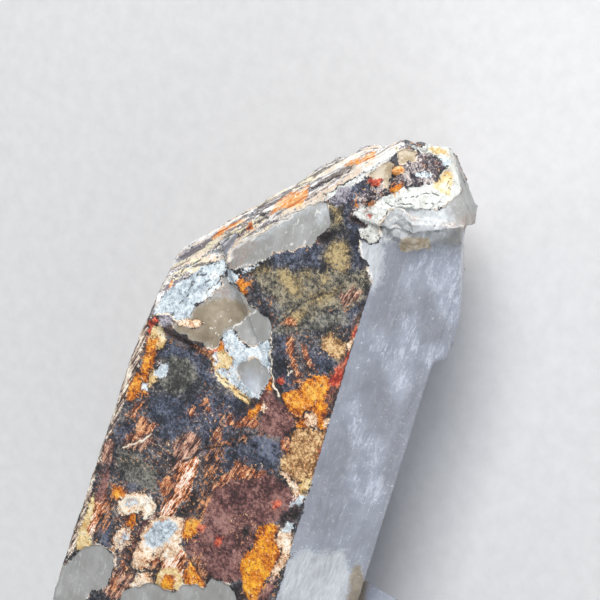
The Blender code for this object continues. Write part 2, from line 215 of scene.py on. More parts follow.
# %% Outlines of the bare quartz and of what shows on it
PATCHES = {
    "bare": {
        "upper_facet": [(228, 268), (229, 260), (233, 250), (241, 243), (255, 237), (266, 231), (280, 221),
                        (297, 212), (311, 205), (322, 202), (329, 204), (330, 214), (331, 224), (327, 231),
                        (319, 236), (314, 243), (303, 246), (297, 249), (285, 251), (273, 252), (269, 257),
                        (262, 260), (252, 264), (242, 270), (236, 269)],
        "sloped_facets": [(191, 313), (194, 307), (203, 301), (212, 298), (217, 291), (222, 286), (222, 277),
                          (227, 275), (230, 283), (236, 283), (241, 292), (246, 299), (253, 306), (259, 312),
                          (268, 317), (272, 324), (271, 336), (264, 342), (256, 345), (247, 344), (242, 340),
                          (238, 333), (231, 331), (224, 334), (219, 342), (213, 348), (203, 344), (192, 339),
                          (181, 335), (173, 330), (178, 321), (190, 319)],
        "window": [(237, 371), (239, 364), (244, 361), (252, 359), (260, 361), (266, 367), (269, 376),
                   (266, 385), (261, 392), (257, 396), (251, 391), (245, 385), (240, 379)],
        "lower_left": [(40, 590), (70, 560), (78, 552), (86, 546), (95, 544), (104, 546), (110, 551),
                       (115, 556), (114, 566), (110, 577), (106, 588), (100, 590), (93, 589), (88, 596),
                       (78, 606), (60, 618), (40, 640)],
        "lower_middle": [(119, 612), (122, 594), (130, 588), (140, 586), (152, 583), (158, 584), (162, 589),
                         (172, 592), (178, 590), (182, 586), (195, 585), (204, 589), (208, 582), (216, 580),
                         (224, 580), (230, 584), (234, 590), (238, 600), (240, 612)],
        "under_cap": [(378, 246), (380, 232), (384, 220), (389, 211), (400, 208), (412, 207), (430, 209),
                      (444, 208), (449, 201), (457, 197), (465, 196), (482, 214), (480, 222), (472, 246)],
        "tip_facet": [(368, 176), (377, 168), (388, 160), (393, 163), (392, 175), (389, 184), (388, 192),
                      (385, 184), (383, 178), (374, 178)],
        "summit_facet": [(397, 161), (398, 155), (402, 151), (410, 150), (416, 153), (415, 159), (411, 163),
                         (405, 163), (400, 163)],
        "front_strip": [(361, 241), (372, 244), (388, 241), (386, 262), (380, 285), (374, 294), (371, 291),
                        (373, 285), (370, 276), (368, 262), (361, 256)],
        "cap_side": [(449, 138), (455, 165), (462, 190), (458, 199), (447, 206), (446, 236), (505, 240),
                     (505, 138)],
    },
    "buff": {
        "tip": [(366, 180), (377, 167), (390, 158), (395, 163), (390, 194), (384, 184), (378, 179)],
        "summit": [(395, 164), (398, 153), (405, 149), (418, 150), (417, 158), (412, 164)],
        "lump": [(398, 245), (402, 239), (414, 237), (430, 238), (432, 249), (402, 251)],
    },
    "tan": {
        "slope": [(191, 315), (195, 307), (205, 302), (213, 300), (223, 298), (235, 300), (247, 304),
                  (253, 310), (245, 319), (236, 327), (224, 330), (222, 338), (214, 347), (200, 343),
                  (187, 337), (172, 331), (178, 322)],
        "foot_stain": [(346, 604), (348, 588), (352, 572), (357, 562), (362, 570), (368, 582), (364, 604)],
    },
    "milky": {
        "slant": [(424, 252), (433, 256), (416, 276), (407, 291), (402, 284), (411, 266)],
        "top_right": [(428, 252), (446, 248), (464, 252), (464, 300), (452, 324), (440, 316), (434, 294),
                      (426, 276)],
        "middle": [(402, 318), (420, 316), (420, 346), (410, 366), (410, 392), (398, 402), (388, 388),
                   (386, 362), (396, 340)],
        "margin": [(430, 340), (444, 346), (440, 358), (430, 366), (424, 356)],
        "inner": [(372, 338), (382, 330), (392, 352), (386, 372), (376, 356)],
        "low": [(366, 442), (376, 436), (388, 448), (382, 470), (386, 492), (376, 504), (364, 496),
                (368, 470)],
        "seam": [(347, 470), (352, 462), (358, 478), (362, 500), (354, 498)],
        "left": [(346, 408), (356, 396), (362, 420), (364, 448), (352, 446)],
        "front_strip": [(361, 240), (384, 238), (384, 262), (378, 282), (371, 290), (367, 262)],
        "window": [(243, 388), (246, 374), (250, 370), (255, 377), (262, 378), (262, 392), (254, 396)],
    },
    "smoke_and_painted_shade": {
        # The patch along the cap's edge is painted shade, on the side of the cap that is turned away from the
        # light.
        "shaded_cap_edge": [(458, 160), (466, 178), (480, 212), (477, 219), (471, 204), (461, 182)],
        "under_cap": [(384, 246), (404, 250), (408, 286), (402, 330), (384, 336), (374, 316), (382, 280)],
        "centre": [(416, 292), (434, 296), (444, 316), (450, 334), (442, 348), (424, 340)],
        "band": [(366, 372), (388, 366), (398, 396), (398, 428), (386, 446), (370, 420)],
        "edge": [(412, 386), (431, 372), (427, 400), (413, 440), (401, 474), (388, 504), (380, 486),
                 (388, 440), (402, 412)],
        "shell": [(384, 224), (392, 214), (404, 218), (412, 228), (420, 238), (404, 244), (386, 242)],
        "inner_low": [(330, 440), (348, 430), (350, 470), (330, 520), (306, 540), (314, 492)],
        "window": [(239, 366), (246, 359), (262, 360), (269, 374), (267, 386), (262, 378), (254, 376),
                   (248, 369), (243, 384), (238, 376)],
        "window_left": [(238, 370), (246, 366), (246, 390), (238, 380)],
        "facet_stain": [(204, 304), (216, 300), (226, 303), (212, 309), (204, 312)],
        "lip_stain": [(200, 332), (206, 330), (211, 333), (206, 336)],
    },
    "frost_and_painted_light": {
        # The pale frost under the cap is partly broken, frosted quartz and partly painted light that
        # brightens the hollow under the cap's overhang.
        "under_cap": [(384, 222), (388, 212), (400, 208), (446, 208), (462, 226), (442, 240), (418, 244),
                      (398, 242), (384, 240)],
        "front_strip": [(361, 241), (382, 240), (383, 262), (380, 284), (372, 291), (366, 262)],
        "foot": [(276, 604), (284, 572), (290, 560), (298, 552), (306, 548), (316, 552), (330, 552),
                 (344, 550), (347, 560), (350, 575), (346, 604)],
        "window_shard": [(252, 382), (256, 380), (260, 385), (257, 393), (253, 389)],
        "lens": [(413, 210), (416, 207), (424, 207), (428, 211), (423, 216), (417, 215)],
        "flake": [(418, 232), (422, 230), (431, 228), (439, 229), (435, 234), (426, 239), (421, 236)],
        "ledge": [(404, 213), (412, 219), (424, 219), (440, 221), (446, 224), (430, 225), (414, 223)],
        "corner": [(318, 206), (328, 204), (330, 216), (324, 214), (320, 226), (317, 216)],
        "upper_rim": [(255, 238), (274, 226), (292, 215), (312, 205), (313, 208), (294, 219), (276, 230),
                      (258, 241)],
    },
    "blush": {
        "veil": [(228, 266), (230, 254), (238, 244), (252, 238), (256, 246), (248, 258), (240, 266),
                 (232, 270)],
        "cap_rim": [(446, 229), (440, 224), (456, 222), (470, 214), (481, 212), (481, 222), (467, 231)],
        "ridge": [(402, 211), (410, 213), (420, 218), (414, 222), (406, 217)],
        "above_slope": [(216, 293), (223, 281), (228, 288), (230, 298), (222, 297)],
    },
}
print("kinds of patch on the bare quartz:", ", ".join(PATCHES))

# %% Outlines of the dark and earthy coats
PATCHES |= {
    "blue_grey": {
        "under_facet": [(272, 255), (285, 251), (300, 248), (312, 244), (322, 246), (330, 247), (325, 256),
                        (318, 270), (306, 268), (298, 274), (288, 268), (275, 268)],
        "right_strip": [(350, 222), (360, 221), (362, 246), (360, 258), (367, 262), (360, 268), (352, 273),
                        (350, 250)],
        "neck": [(331, 202), (338, 190), (352, 184), (366, 183), (372, 192), (362, 198), (352, 208),
                 (349, 226), (342, 228), (344, 206), (336, 204)],
        "lower": [(278, 336), (286, 332), (286, 352), (294, 372), (302, 384), (292, 390), (282, 388),
                  (277, 376)],
        "lower_right": [(306, 350), (318, 346), (330, 350), (340, 360), (334, 368), (322, 374), (314, 368)],
        "low_strip": [(350, 306), (364, 296), (356, 322), (352, 328), (342, 322)],
        "middle": [(150, 398), (170, 396), (186, 402), (206, 392), (225, 396), (246, 402), (250, 416),
                   (232, 430), (228, 440), (205, 444), (200, 434), (184, 430), (170, 440), (156, 436),
                   (152, 424)],
        "low_middle": [(205, 450), (235, 446), (262, 436), (284, 446), (280, 462), (270, 474), (256, 466),
                       (240, 462), (228, 470), (214, 474)],
        "left_coat": [(156, 352), (170, 345), (190, 348), (206, 356), (211, 366), (222, 378), (210, 384),
                      (196, 372), (184, 360), (164, 360)],
        "left_low": [(118, 426), (132, 422), (138, 426), (130, 436), (118, 444)],
        "pit_side": [(100, 526), (112, 520), (112, 546), (104, 544)],
        "under_white": [(126, 484), (138, 480), (142, 486), (132, 492)],
    },
    "grey": {
        "left_coat": [(162, 360), (176, 356), (192, 362), (198, 376), (190, 388), (176, 394), (162, 388),
                      (160, 372)],
        "field": [(284, 296), (300, 300), (322, 312), (346, 312), (350, 322), (330, 330), (308, 330),
                  (284, 334), (276, 330), (284, 310)],
        "left_low": [(118, 448), (132, 450), (146, 462), (158, 470), (156, 490), (146, 486), (128, 480),
                     (120, 470)],
    },
    "olive": {
        "field": [(256, 268), (272, 268), (290, 272), (304, 268), (322, 270), (340, 268), (352, 274),
                  (368, 268), (370, 284), (362, 300), (350, 308), (330, 308), (310, 318), (292, 310),
                  (276, 300), (262, 288), (254, 280)],
        "neck": [(330, 204), (340, 203), (343, 216), (341, 230), (330, 236), (328, 226), (332, 218)],
    },
    "ochre": {
        "right": [(325, 256), (329, 247), (336, 241), (346, 241), (351, 250), (350, 262), (345, 271),
                  (336, 268), (328, 264)],
        "middle": [(277, 276), (282, 270), (292, 272), (299, 276), (303, 286), (303, 296), (292, 296),
                   (284, 286)],
        "left": [(255, 268), (268, 266), (272, 269), (268, 274), (258, 272)],
        "low": [(288, 318), (294, 312), (302, 308), (308, 312), (303, 320), (296, 326), (288, 326)],
        "dots": [(303, 270), (311, 271), (311, 279), (304, 278)],
        "slant": [(320, 284), (322, 276), (327, 273), (327, 280), (323, 286)],
        "neck": [(333, 206), (340, 206), (341, 222), (336, 222)],
        "notch": [(322, 345), (325, 337), (330, 331), (336, 335), (336, 340), (345, 343), (345, 348),
                  (332, 349)],
        "notch_low": [(330, 352), (338, 348), (345, 349), (345, 357), (338, 359)],
        "ridge": [(310, 296), (330, 290), (344, 286), (340, 294), (322, 302), (310, 304)],
    },
    "brown": {
        "field": [(171, 471), (174, 460), (173, 447), (180, 437), (188, 433), (198, 432), (201, 441),
                  (199, 452), (192, 456), (184, 460), (178, 470)],
        "left_edge": [(102, 462), (103, 448), (106, 440), (112, 439), (115, 448), (113, 462)],
        "left_mid": [(122, 445), (132, 438), (150, 436), (156, 442), (148, 447), (132, 450)],
        "bottom": [(106, 594), (110, 579), (117, 570), (127, 571), (134, 577), (132, 590), (122, 597),
                   (112, 600)],
        "field_low": [(340, 296), (356, 288), (364, 291), (352, 302), (344, 306)],
    },
    "rust": {
        "under_lip": [(186, 341), (200, 345), (211, 350), (216, 347), (217, 357), (210, 358), (200, 351)],
        "stripe": [(286, 352), (288, 341), (292, 336), (295, 345), (294, 352), (297, 362), (301, 370),
                   (303, 376), (298, 378), (295, 370), (292, 358)],
        "stripe_right": [(303, 344), (306, 347), (309, 357), (315, 364), (314, 369), (309, 366), (304, 358)],
        "stripe_foot": [(294, 382), (296, 378), (302, 379), (302, 384), (296, 384)],
        "ochre_foot": [(284, 322), (290, 316), (296, 322), (294, 326), (286, 325)],
        "cushion": [(232, 426), (239, 420), (247, 415), (257, 417), (260, 424), (255, 428), (241, 427)],
        "left_a": [(130, 415), (134, 408), (140, 402), (144, 403), (140, 410), (134, 417)],
        "left_b": [(127, 439), (132, 434), (138, 430), (137, 424), (141, 417), (147, 417), (148, 422),
                   (146, 428), (151, 424), (155, 425), (153, 431), (146, 434), (139, 438), (130, 441)],
        "spot_a": [(201, 406), (203, 399), (208, 397), (209, 401), (205, 406)],
        "spot_b": [(206, 409), (210, 407), (212, 410), (208, 413)],
        "spot_c": [(227, 424), (229, 415), (233, 414), (234, 424)],
        "spot_d": [(220, 422), (222, 415), (225, 416), (223, 422)],
        "spot_e": [(213, 441), (216, 430), (220, 427), (221, 434), (218, 442)],
        "spot_f": [(223, 443), (227, 440), (235, 442), (231, 445)],
        "spot_g": [(240, 440), (243, 435), (248, 435), (246, 440)],
        "spot_h": [(189, 417), (191, 408), (196, 406), (194, 416)],
        "upper_rim": [(212, 494), (216, 482), (225, 475), (232, 468), (238, 461), (245, 466), (253, 467),
                      (258, 471), (267, 472), (268, 477), (256, 480), (247, 482), (238, 478), (229, 482),
                      (219, 490)],
        "rim_foot": [(204, 512), (206, 500), (212, 492), (212, 506), (207, 516)],
        "edge_patch": [(282, 446), (283, 438), (289, 436), (293, 444), (291, 453), (286, 453)],
        "sand_edge": [(314, 474), (315, 462), (320, 446), (325, 434), (325, 446), (319, 462)],
        "bottom_left": [(110, 588), (112, 579), (117, 579), (118, 587), (114, 591)],
        "over_pit": [(114, 498), (114, 487), (119, 484), (124, 488), (129, 495), (122, 499)],
        "streak_side": [(162, 496), (160, 484), (165, 476), (173, 476), (174, 486), (170, 496)],
        "left_streak": [(86, 530), (90, 516), (96, 503), (99, 490), (103, 476), (107, 486), (108, 500),
                        (105, 512), (100, 524), (92, 533)],
        "foot": [(246, 604), (252, 592), (262, 588), (266, 596), (262, 606)],
        "pink_spots": [(152, 568), (152, 560), (158, 553), (162, 557), (158, 566)],
        "flame": [(121, 560), (124, 560), (129, 570), (126, 573)],
    },
    "maroon": {
        "main": [(210, 502), (214, 492), (221, 486), (233, 480), (246, 480), (256, 478), (266, 475),
                 (276, 477), (285, 484), (293, 492), (298, 500), (291, 510), (282, 516), (276, 522),
                 (262, 524), (256, 530), (254, 540), (248, 550), (242, 560), (240, 568), (243, 580),
                 (230, 582), (220, 579), (208, 582), (202, 574), (197, 562), (189, 552), (186, 545),
                 (192, 540), (200, 534), (206, 520)],
        "upper": [(258, 434), (262, 420), (265, 405), (261, 398), (266, 390), (272, 390), (278, 398),
                  (286, 404), (292, 412), (295, 422), (291, 432), (284, 438), (272, 434)],
        "right_edge": [(350, 336), (353, 326), (357, 322), (356, 335), (351, 350), (347, 364), (343, 382),
                       (338, 396), (331, 406), (325, 403), (331, 390), (338, 374), (343, 358)],
        "foot": [(258, 600), (264, 586), (272, 578), (278, 574), (274, 588), (266, 602)],
        "river": [(131, 550), (138, 532), (145, 520), (156, 510), (158, 514), (148, 523), (142, 536),
                  (138, 552), (132, 558)],
        "left_edge": [(96, 500), (101, 480), (108, 462), (110, 470), (106, 490), (100, 508)],
    },
}
print("kinds so far:", len(PATCHES))

# %% Outlines of the bright coats
PATCHES |= {
    "streaked": {
        "middle": [(174, 508), (175, 490), (176, 476), (181, 464), (186, 457), (193, 456), (199, 459),
                   (198, 470), (193, 484), (189, 497), (184, 500)],
        "foot": [(160, 519), (163, 506), (172, 494), (184, 494), (180, 504), (174, 519)],
        "low": [(156, 588), (158, 566), (168, 552), (178, 545), (187, 553), (186, 566), (182, 586)],
        "left": [(84, 540), (90, 518), (96, 500), (100, 500), (104, 508), (98, 524), (90, 536)],
    },
    "thin_streaks": {
        "right_edge": [(328, 404), (336, 384), (344, 360), (351, 334), (357, 318), (360, 316), (355, 340),
                       (350, 362), (342, 386), (334, 406)],
        "fringe": [(204, 484), (204, 462), (212, 440), (222, 436), (224, 452), (220, 470), (212, 486)],
        "rim_side": [(196, 520), (200, 500), (206, 486), (214, 484), (208, 504), (202, 520)],
        "left": [(100, 520), (106, 500), (112, 484), (116, 500), (110, 520), (104, 530)],
        "bottom": [(184, 586), (188, 560), (200, 556), (206, 570), (206, 588)],
    },
    "sand": {
        "main": [(290, 452), (292, 434), (296, 429), (312, 428), (326, 430), (324, 440), (320, 452),
                 (316, 466), (312, 477), (304, 482), (296, 480), (286, 473), (281, 467), (284, 458)],
        "notch": [(322, 350), (325, 338), (331, 332), (336, 338), (346, 346), (344, 357), (334, 356)],
        "v_left": [(211, 366), (213, 356), (216, 350), (222, 352), (228, 358), (232, 365), (230, 371),
                   (223, 373), (217, 371)],
    },
    "orange": {
        "main": [(280, 400), (283, 394), (290, 391), (298, 391), (304, 385), (310, 378), (318, 376),
                 (329, 375), (333, 381), (330, 391), (325, 401), (318, 404), (313, 409), (306, 412),
                 (301, 417), (296, 419), (292, 411), (287, 406)],
        "low": [(295, 427), (300, 420), (305, 415), (313, 419), (314, 427)],
        "corner_blob": [(236, 279), (241, 277), (246, 281), (251, 283), (248, 287), (250, 292), (247, 296),
                        (243, 294), (241, 287)],
        "under_v": [(249, 417), (251, 408), (256, 402), (262, 399), (264, 405), (262, 411), (256, 415),
                    (251, 420)],
        "v_right": [(264, 389), (267, 381), (271, 377), (273, 384), (270, 390)],
        "v_top_left": [(216, 353), (218, 347), (223, 341), (228, 340), (228, 347), (222, 352)],
        "left_strip": [(142, 373), (144, 362), (146, 350), (149, 341), (152, 336), (160, 334), (163, 340),
                       (158, 348), (155, 358), (153, 366), (150, 372), (150, 381), (145, 384), (141, 379)],
        "left_low": [(128, 399), (130, 387), (135, 382), (137, 374), (141, 372), (141, 384), (138, 393),
                     (133, 400)],
        "left_low_b": [(141, 390), (147, 389), (148, 395), (143, 396)],
        "cap_blob": [(392, 189), (394, 186), (397, 185), (400, 187), (399, 190), (395, 192)],
        "glitter_a": [(354, 206), (355, 202), (358, 201), (359, 206)],
        "glitter_b": [(368, 207), (370, 204), (375, 203), (373, 206)],
        "small": [(128, 525), (127, 517), (131, 513), (137, 515), (137, 522), (133, 527)],
        "nodule_rim": [(114, 549), (114, 540), (118, 536), (119, 547)],
        "bottom_mid": [(185, 586), (185, 572), (191, 564), (196, 570), (204, 580), (205, 587), (194, 589)],
        "mid_low": [(181, 535), (184, 521), (190, 517), (197, 519), (203, 524), (198, 530), (191, 539),
                    (184, 539)],
        "left_ticks": [(112, 494), (116, 486), (122, 488), (126, 496), (120, 500)],
    },
    "yellow": {
        "main": [(254, 546), (256, 535), (260, 527), (267, 524), (275, 524), (280, 529), (277, 537),
                 (279, 545), (281, 551), (279, 560), (277, 567), (272, 574), (266, 581), (262, 590),
                 (257, 600), (246, 598), (243, 585), (242, 575), (240, 567), (243, 558), (249, 550)],
        "speckled": [(312, 412), (316, 404), (322, 401), (328, 405), (329, 413), (326, 420), (329, 424),
                     (326, 431), (319, 426), (316, 418)],
        "nodule": [(160, 587), (162, 577), (168, 572), (175, 574), (178, 583), (173, 590), (165, 590)],
    },
    "red": {
        "edge": [(330, 380), (335, 373), (341, 365), (344, 371), (342, 380), (336, 387), (331, 385)],
        "maroon_edge": [(343, 366), (347, 352), (351, 342), (352, 348), (348, 362), (344, 374)],
        "spot_right": [(274, 508), (275, 501), (281, 500), (281, 508)],
        "spot_low": [(216, 546), (218, 538), (222, 536), (223, 543), (219, 547)],
        "tip_blob": [(370, 182), (373, 178), (383, 177), (384, 180), (379, 185), (372, 185)],
        "corner_stroke": [(366, 211), (367, 209), (370, 212), (372, 217), (370, 218), (368, 215)],
        "lip": [(211, 352), (215, 347), (218, 350), (216, 358)],
        "edge_low": [(338, 396), (342, 384), (347, 370), (350, 362), (346, 380), (341, 394)],
        "edge_high": [(352, 334), (356, 324), (359, 318), (357, 330), (353, 340)],
        "sand_side": [(317, 462), (319, 450), (323, 443), (324, 449), (320, 461)],
        "under_lens": [(277, 381), (284, 378), (286, 382), (280, 384)],
        "left_corner": [(149, 334), (151, 320), (158, 316), (160, 322), (154, 330), (149, 340)],
        "streak_end": [(196, 530), (200, 522), (206, 526), (202, 532)],
    },
    "pale_yellow": {
        "nodule_halo": [(154, 590), (158, 572), (168, 566), (180, 570), (184, 584), (180, 592), (175, 588),
                        (177, 579), (172, 573), (164, 575), (161, 583), (163, 592)],
        "v_shoulder": [(214, 354), (222, 349), (231, 352), (236, 364), (229, 370), (220, 367), (214, 361)],
        "v_rim": [(215, 371), (222, 372), (234, 384), (244, 392), (252, 399), (250, 404), (240, 398),
                  (228, 388), (218, 379)],
        "cap": [(431, 188), (437, 183), (439, 177), (445, 172), (451, 172), (452, 184), (450, 196),
                (443, 193)],
        "cap_top": [(426, 151), (434, 148), (444, 150), (448, 156), (440, 155), (432, 154)],
        "strip_top": [(150, 339), (153, 331), (160, 325), (165, 328), (167, 340), (165, 346), (159, 350),
                      (157, 344), (160, 337), (153, 338)],
        "strip_foot": [(149, 386), (150, 377), (156, 370), (160, 377), (154, 384)],
        "v_right": [(262, 348), (264, 342), (268, 340), (268, 366), (265, 364)],
        "v_foot": [(223, 378), (229, 379), (236, 386), (243, 394), (236, 393), (228, 386)],
        "sand_foot": [(298, 486), (304, 479), (313, 476), (308, 488), (303, 494), (299, 492)],
        "left_silhouette": [(76, 550), (82, 528), (90, 504), (95, 492), (96, 504), (90, 522), (88, 534),
                            (93, 546), (88, 550)],
    },
    "cream": {
        "lens": [(176, 323), (184, 319), (198, 319), (207, 323), (200, 327), (188, 329), (180, 326)],
        "nodule_left": [(114, 548), (116, 535), (122, 527), (129, 528), (132, 534), (130, 545), (124, 549)],
        "nodule_pink": [(131, 563), (134, 553), (140, 546), (147, 551), (154, 551), (154, 559), (150, 567),
                        (140, 570), (134, 567)],
        "nodule_low": [(131, 588), (136, 576), (142, 570), (151, 574), (154, 583), (148, 587)],
        "white_halo": [(140, 547), (144, 530), (150, 521), (160, 516), (172, 514), (183, 519), (185, 528),
                       (181, 540), (176, 548), (160, 552), (148, 552)],
        "edge_line": [(281, 471), (287, 473), (294, 481), (300, 488), (303, 497), (297, 497), (290, 486)],
        "edge_low": [(277, 542), (279, 531), (285, 527), (294, 530), (290, 552), (285, 564), (280, 574),
                     (274, 579), (273, 572), (279, 560), (282, 548)],
        "edge_flake": [(356, 324), (356, 317), (361, 314), (360, 320)],
        "edge_gap": [(346, 352), (348, 342), (353, 338), (352, 348)],
        "pit_halo": [(118, 510), (121, 500), (130, 493), (142, 491), (151, 498), (157, 505), (154, 513),
                     (148, 518), (143, 513), (141, 506), (136, 514), (128, 515), (122, 514)],
        "blob_right": [(262, 410), (263, 403), (265, 402), (266, 410), (263, 414)],
        "low_speck": [(305, 424), (306, 414), (314, 412), (318, 420), (314, 426)],
        "nodule_gap": [(155, 556), (164, 549), (178, 545), (184, 548), (176, 556), (164, 562)],
        "orange_end": [(326, 420), (330, 416), (331, 424), (327, 428)],
    },
    "white": {
        "clay": [(154, 313), (158, 306), (164, 296), (170, 288), (178, 282), (189, 279), (195, 271),
                 (205, 265), (213, 262), (222, 257), (227, 262), (226, 272), (221, 279), (221, 286),
                 (214, 292), (206, 298), (198, 303), (193, 308), (191, 317), (184, 320), (177, 323),
                 (174, 316), (168, 313), (160, 315)],
        "clay_top": [(188, 268), (190, 261), (197, 254), (208, 249), (218, 246), (226, 238), (233, 233),
                     (233, 238), (225, 246), (216, 254), (204, 260), (194, 268)],
        "corner": [(227, 272), (231, 269), (240, 275), (238, 280), (232, 283), (228, 279)],
        "v_patch": [(222, 333), (232, 330), (237, 335), (241, 340), (245, 345), (254, 346), (262, 343),
                    (270, 338), (271, 352), (270, 370), (269, 382), (263, 394), (256, 400), (247, 396),
                    (240, 390), (232, 383), (224, 376), (217, 372), (222, 366), (228, 370), (232, 364),
                    (230, 353), (226, 347)],
        "v_sliver": [(214, 366), (214, 353), (218, 351), (218, 362)],
        "left_spot": [(154, 377), (158, 369), (159, 362), (164, 364), (168, 362), (170, 367), (167, 374),
                      (163, 378)],
        "left_spot_low": [(142, 388), (144, 381), (148, 383), (148, 390)],
        "edge_a": [(292, 508), (293, 503), (297, 501), (299, 495), (304, 497), (303, 504), (298, 509)],
        "edge_b": [(282, 533), (284, 526), (287, 521), (294, 523), (296, 527), (291, 532)],
        # A painted glint: a white spot in the dark gap at the coat's edge.
        "painted_glint_in_edge_gap": [(286, 513), (288, 512), (291, 516), (289, 517)],
        "nodule": [(147, 546), (146, 537), (150, 527), (157, 521), (168, 519), (176, 523), (180, 529),
                   (175, 537), (168, 541), (160, 546), (152, 549)],
        "nodule_left": [(123, 540), (124, 531), (128, 530), (130, 538), (127, 543)],
        "pit": [(123, 506), (125, 501), (130, 498), (139, 499), (141, 504), (132, 507)],
        "coat_glint": [(413, 178), (416, 174), (428, 174), (432, 177), (428, 180), (420, 178)],
        "coat_corner": [(440, 168), (441, 160), (448, 160), (450, 167)],
        "upper_corner": [(262, 262), (270, 256), (270, 259), (258, 266), (244, 272), (242, 270)],
    },
    "chalk": {
        "cap": [(375, 203), (386, 195), (393, 192), (402, 187), (412, 188), (425, 186), (437, 184),
                (446, 190), (456, 197), (449, 204), (440, 208), (425, 209), (410, 209), (400, 210),
                (392, 209), (386, 213), (380, 210), (374, 206)],
        "cap_right": [(440, 186), (438, 176), (446, 168), (456, 170), (462, 188), (456, 202), (444, 204)],
        "cap_top": [(412, 146), (450, 145), (458, 160), (462, 186), (452, 188), (446, 168), (440, 159),
                    (428, 154), (418, 152)],
        "cap_left": [(352, 213), (360, 209), (370, 205), (376, 204), (388, 210), (381, 219), (379, 232),
                     (377, 242), (370, 244), (362, 238), (361, 228), (367, 224), (360, 220)],
        "strip_edge": [(316, 202), (330, 192), (350, 182), (368, 172), (384, 160), (392, 154), (390, 159),
                       (374, 172), (356, 184), (336, 194), (320, 203)],
    },
    "violet": {
        "left_top": [(178, 276), (177, 262), (180, 252), (188, 247), (202, 241), (216, 235), (226, 234),
                     (214, 244), (204, 252), (192, 257), (188, 266), (184, 278)],
        "left_low": [(164, 292), (168, 282), (174, 274), (180, 274), (178, 282), (168, 294)],
        "left_lump": [(159, 326), (159, 317), (166, 313), (174, 315), (175, 321), (170, 327)],
        "neck": [(332, 202), (338, 190), (350, 185), (352, 194), (346, 204), (338, 205)],
    },
    "tip_bands": {
        "strip": [(150, 318), (158, 294), (168, 270), (178, 245), (230, 212), (272, 192), (330, 155),
                  (372, 141), (404, 134), (404, 150), (388, 158), (368, 171), (345, 183), (325, 194),
                  (310, 202), (284, 216), (262, 229), (248, 237), (234, 244), (222, 257), (205, 265),
                  (189, 279), (178, 283), (165, 294), (156, 312)],
        "above_facet": [(222, 257), (234, 244), (248, 237), (262, 229), (284, 216), (310, 202), (325, 194),
                        (330, 200), (322, 203), (311, 206), (297, 213), (280, 222), (266, 232),
                        (255, 238), (241, 244), (233, 251), (229, 261)],
    },
    "strip_orange": {
        "nodule": [(393, 172), (393, 169), (395, 166), (398, 165), (401, 166), (403, 169), (403, 172),
                   (401, 175), (398, 176), (395, 175)],
        "main": [(271, 214), (276, 206), (286, 198), (298, 192), (309, 187), (309, 197), (304, 204),
                 (292, 210), (280, 209)],
        "upper": [(345, 168), (352, 162), (364, 158), (376, 152), (376, 157), (368, 162), (356, 165)],
        "spot": [(245, 230), (249, 224), (254, 222), (255, 228), (250, 232)],
        "edge": [(213, 240), (220, 231), (232, 224), (250, 218), (244, 223), (230, 229), (220, 238)],
        "corner": [(168, 289), (170, 281), (174, 279), (172, 288)],
    },
    "speckled": {
        "left_field": [(118, 452), (134, 450), (160, 440), (174, 444), (172, 474), (156, 474), (138, 466),
                       (120, 464)],
        "blue_left": [(205, 404), (222, 398), (232, 410), (228, 430), (206, 438), (190, 426)],
        "left_coat": [(128, 430), (140, 424), (160, 428), (156, 442), (136, 450), (116, 446)],
        "under_pit": [(112, 548), (118, 520), (126, 512), (142, 516), (136, 548), (126, 566), (114, 566)],
        "foot": [(186, 584), (186, 556), (200, 560), (212, 584)],
        "maroon_foot": [(232, 520), (246, 512), (258, 520), (256, 546), (242, 552), (234, 540)],
        "upper_rim": [(212, 486), (226, 468), (244, 456), (268, 468), (262, 480), (236, 482)],
        "notch": [(318, 352), (322, 338), (336, 328), (348, 330), (346, 352), (332, 362)],
        "below_window": [(286, 362), (300, 352), (316, 366), (304, 386), (288, 386)],
        "corner": [(352, 190), (372, 184), (390, 186), (384, 198), (364, 208), (352, 204)],
        "cap": [(420, 158), (436, 160), (444, 168), (436, 178), (416, 170)],
    },
    "rusty_specks": {
        "lower_left": [(112, 592), (114, 544), (118, 512), (136, 488), (146, 500), (140, 530), (136, 552),
                       (158, 562), (156, 590), (130, 590)],
        "lower_middle": [(184, 520), (176, 500), (178, 480), (196, 470), (204, 484), (196, 520), (208, 548),
                         (206, 586), (184, 590), (180, 552), (188, 536)],
        "window_left": [(210, 372), (212, 348), (224, 340), (234, 350), (236, 368), (250, 396), (236, 394)],
        "orange": [(284, 410), (292, 392), (308, 378), (330, 378), (332, 400), (326, 432), (296, 430)],
        "yellow": [(244, 598), (244, 562), (262, 526), (280, 526), (278, 562), (262, 598)],
        "sand": [(284, 470), (292, 432), (326, 430), (318, 474), (300, 494)],
        "left_strip": [(128, 400), (140, 366), (150, 334), (164, 334), (158, 366), (148, 400)],
    },
    "edge_bands": {
        "left": [(66, 560), (84, 500), (106, 436), (126, 370), (146, 318), (150, 322), (147, 338),
                 (141, 354), (138, 370), (128, 392), (124, 404), (114, 428), (103, 446), (99, 466),
                 (94, 486), (86, 512), (78, 546)],
    },
    "cap_coat": {
        "main": [(396, 178), (402, 173), (405, 166), (411, 163), (416, 158), (420, 153), (428, 155),
                 (436, 159), (441, 163), (442, 170), (438, 176), (438, 182), (430, 184), (418, 185),
                 (410, 186), (404, 182), (398, 186), (392, 187), (391, 182)],
        "glitter": [(352, 209), (355, 200), (362, 197), (370, 190), (378, 186), (385, 184), (389, 190),
                    (384, 197), (374, 200), (366, 206), (360, 210)],
    },
    # Black patches are dark coat and holes, and also painted shade: the shadow under the ledge and under the
    # cap's corner.
    "black_coat_and_painted_shade": {
        "ledge_shade": [(164, 327), (172, 325), (173, 331), (182, 336), (196, 341), (208, 346),
                        (200, 347), (188, 343), (174, 338), (165, 334)],
        "edge_gap": [(279, 526), (281, 516), (290, 511), (297, 505), (301, 508), (298, 517), (293, 522),
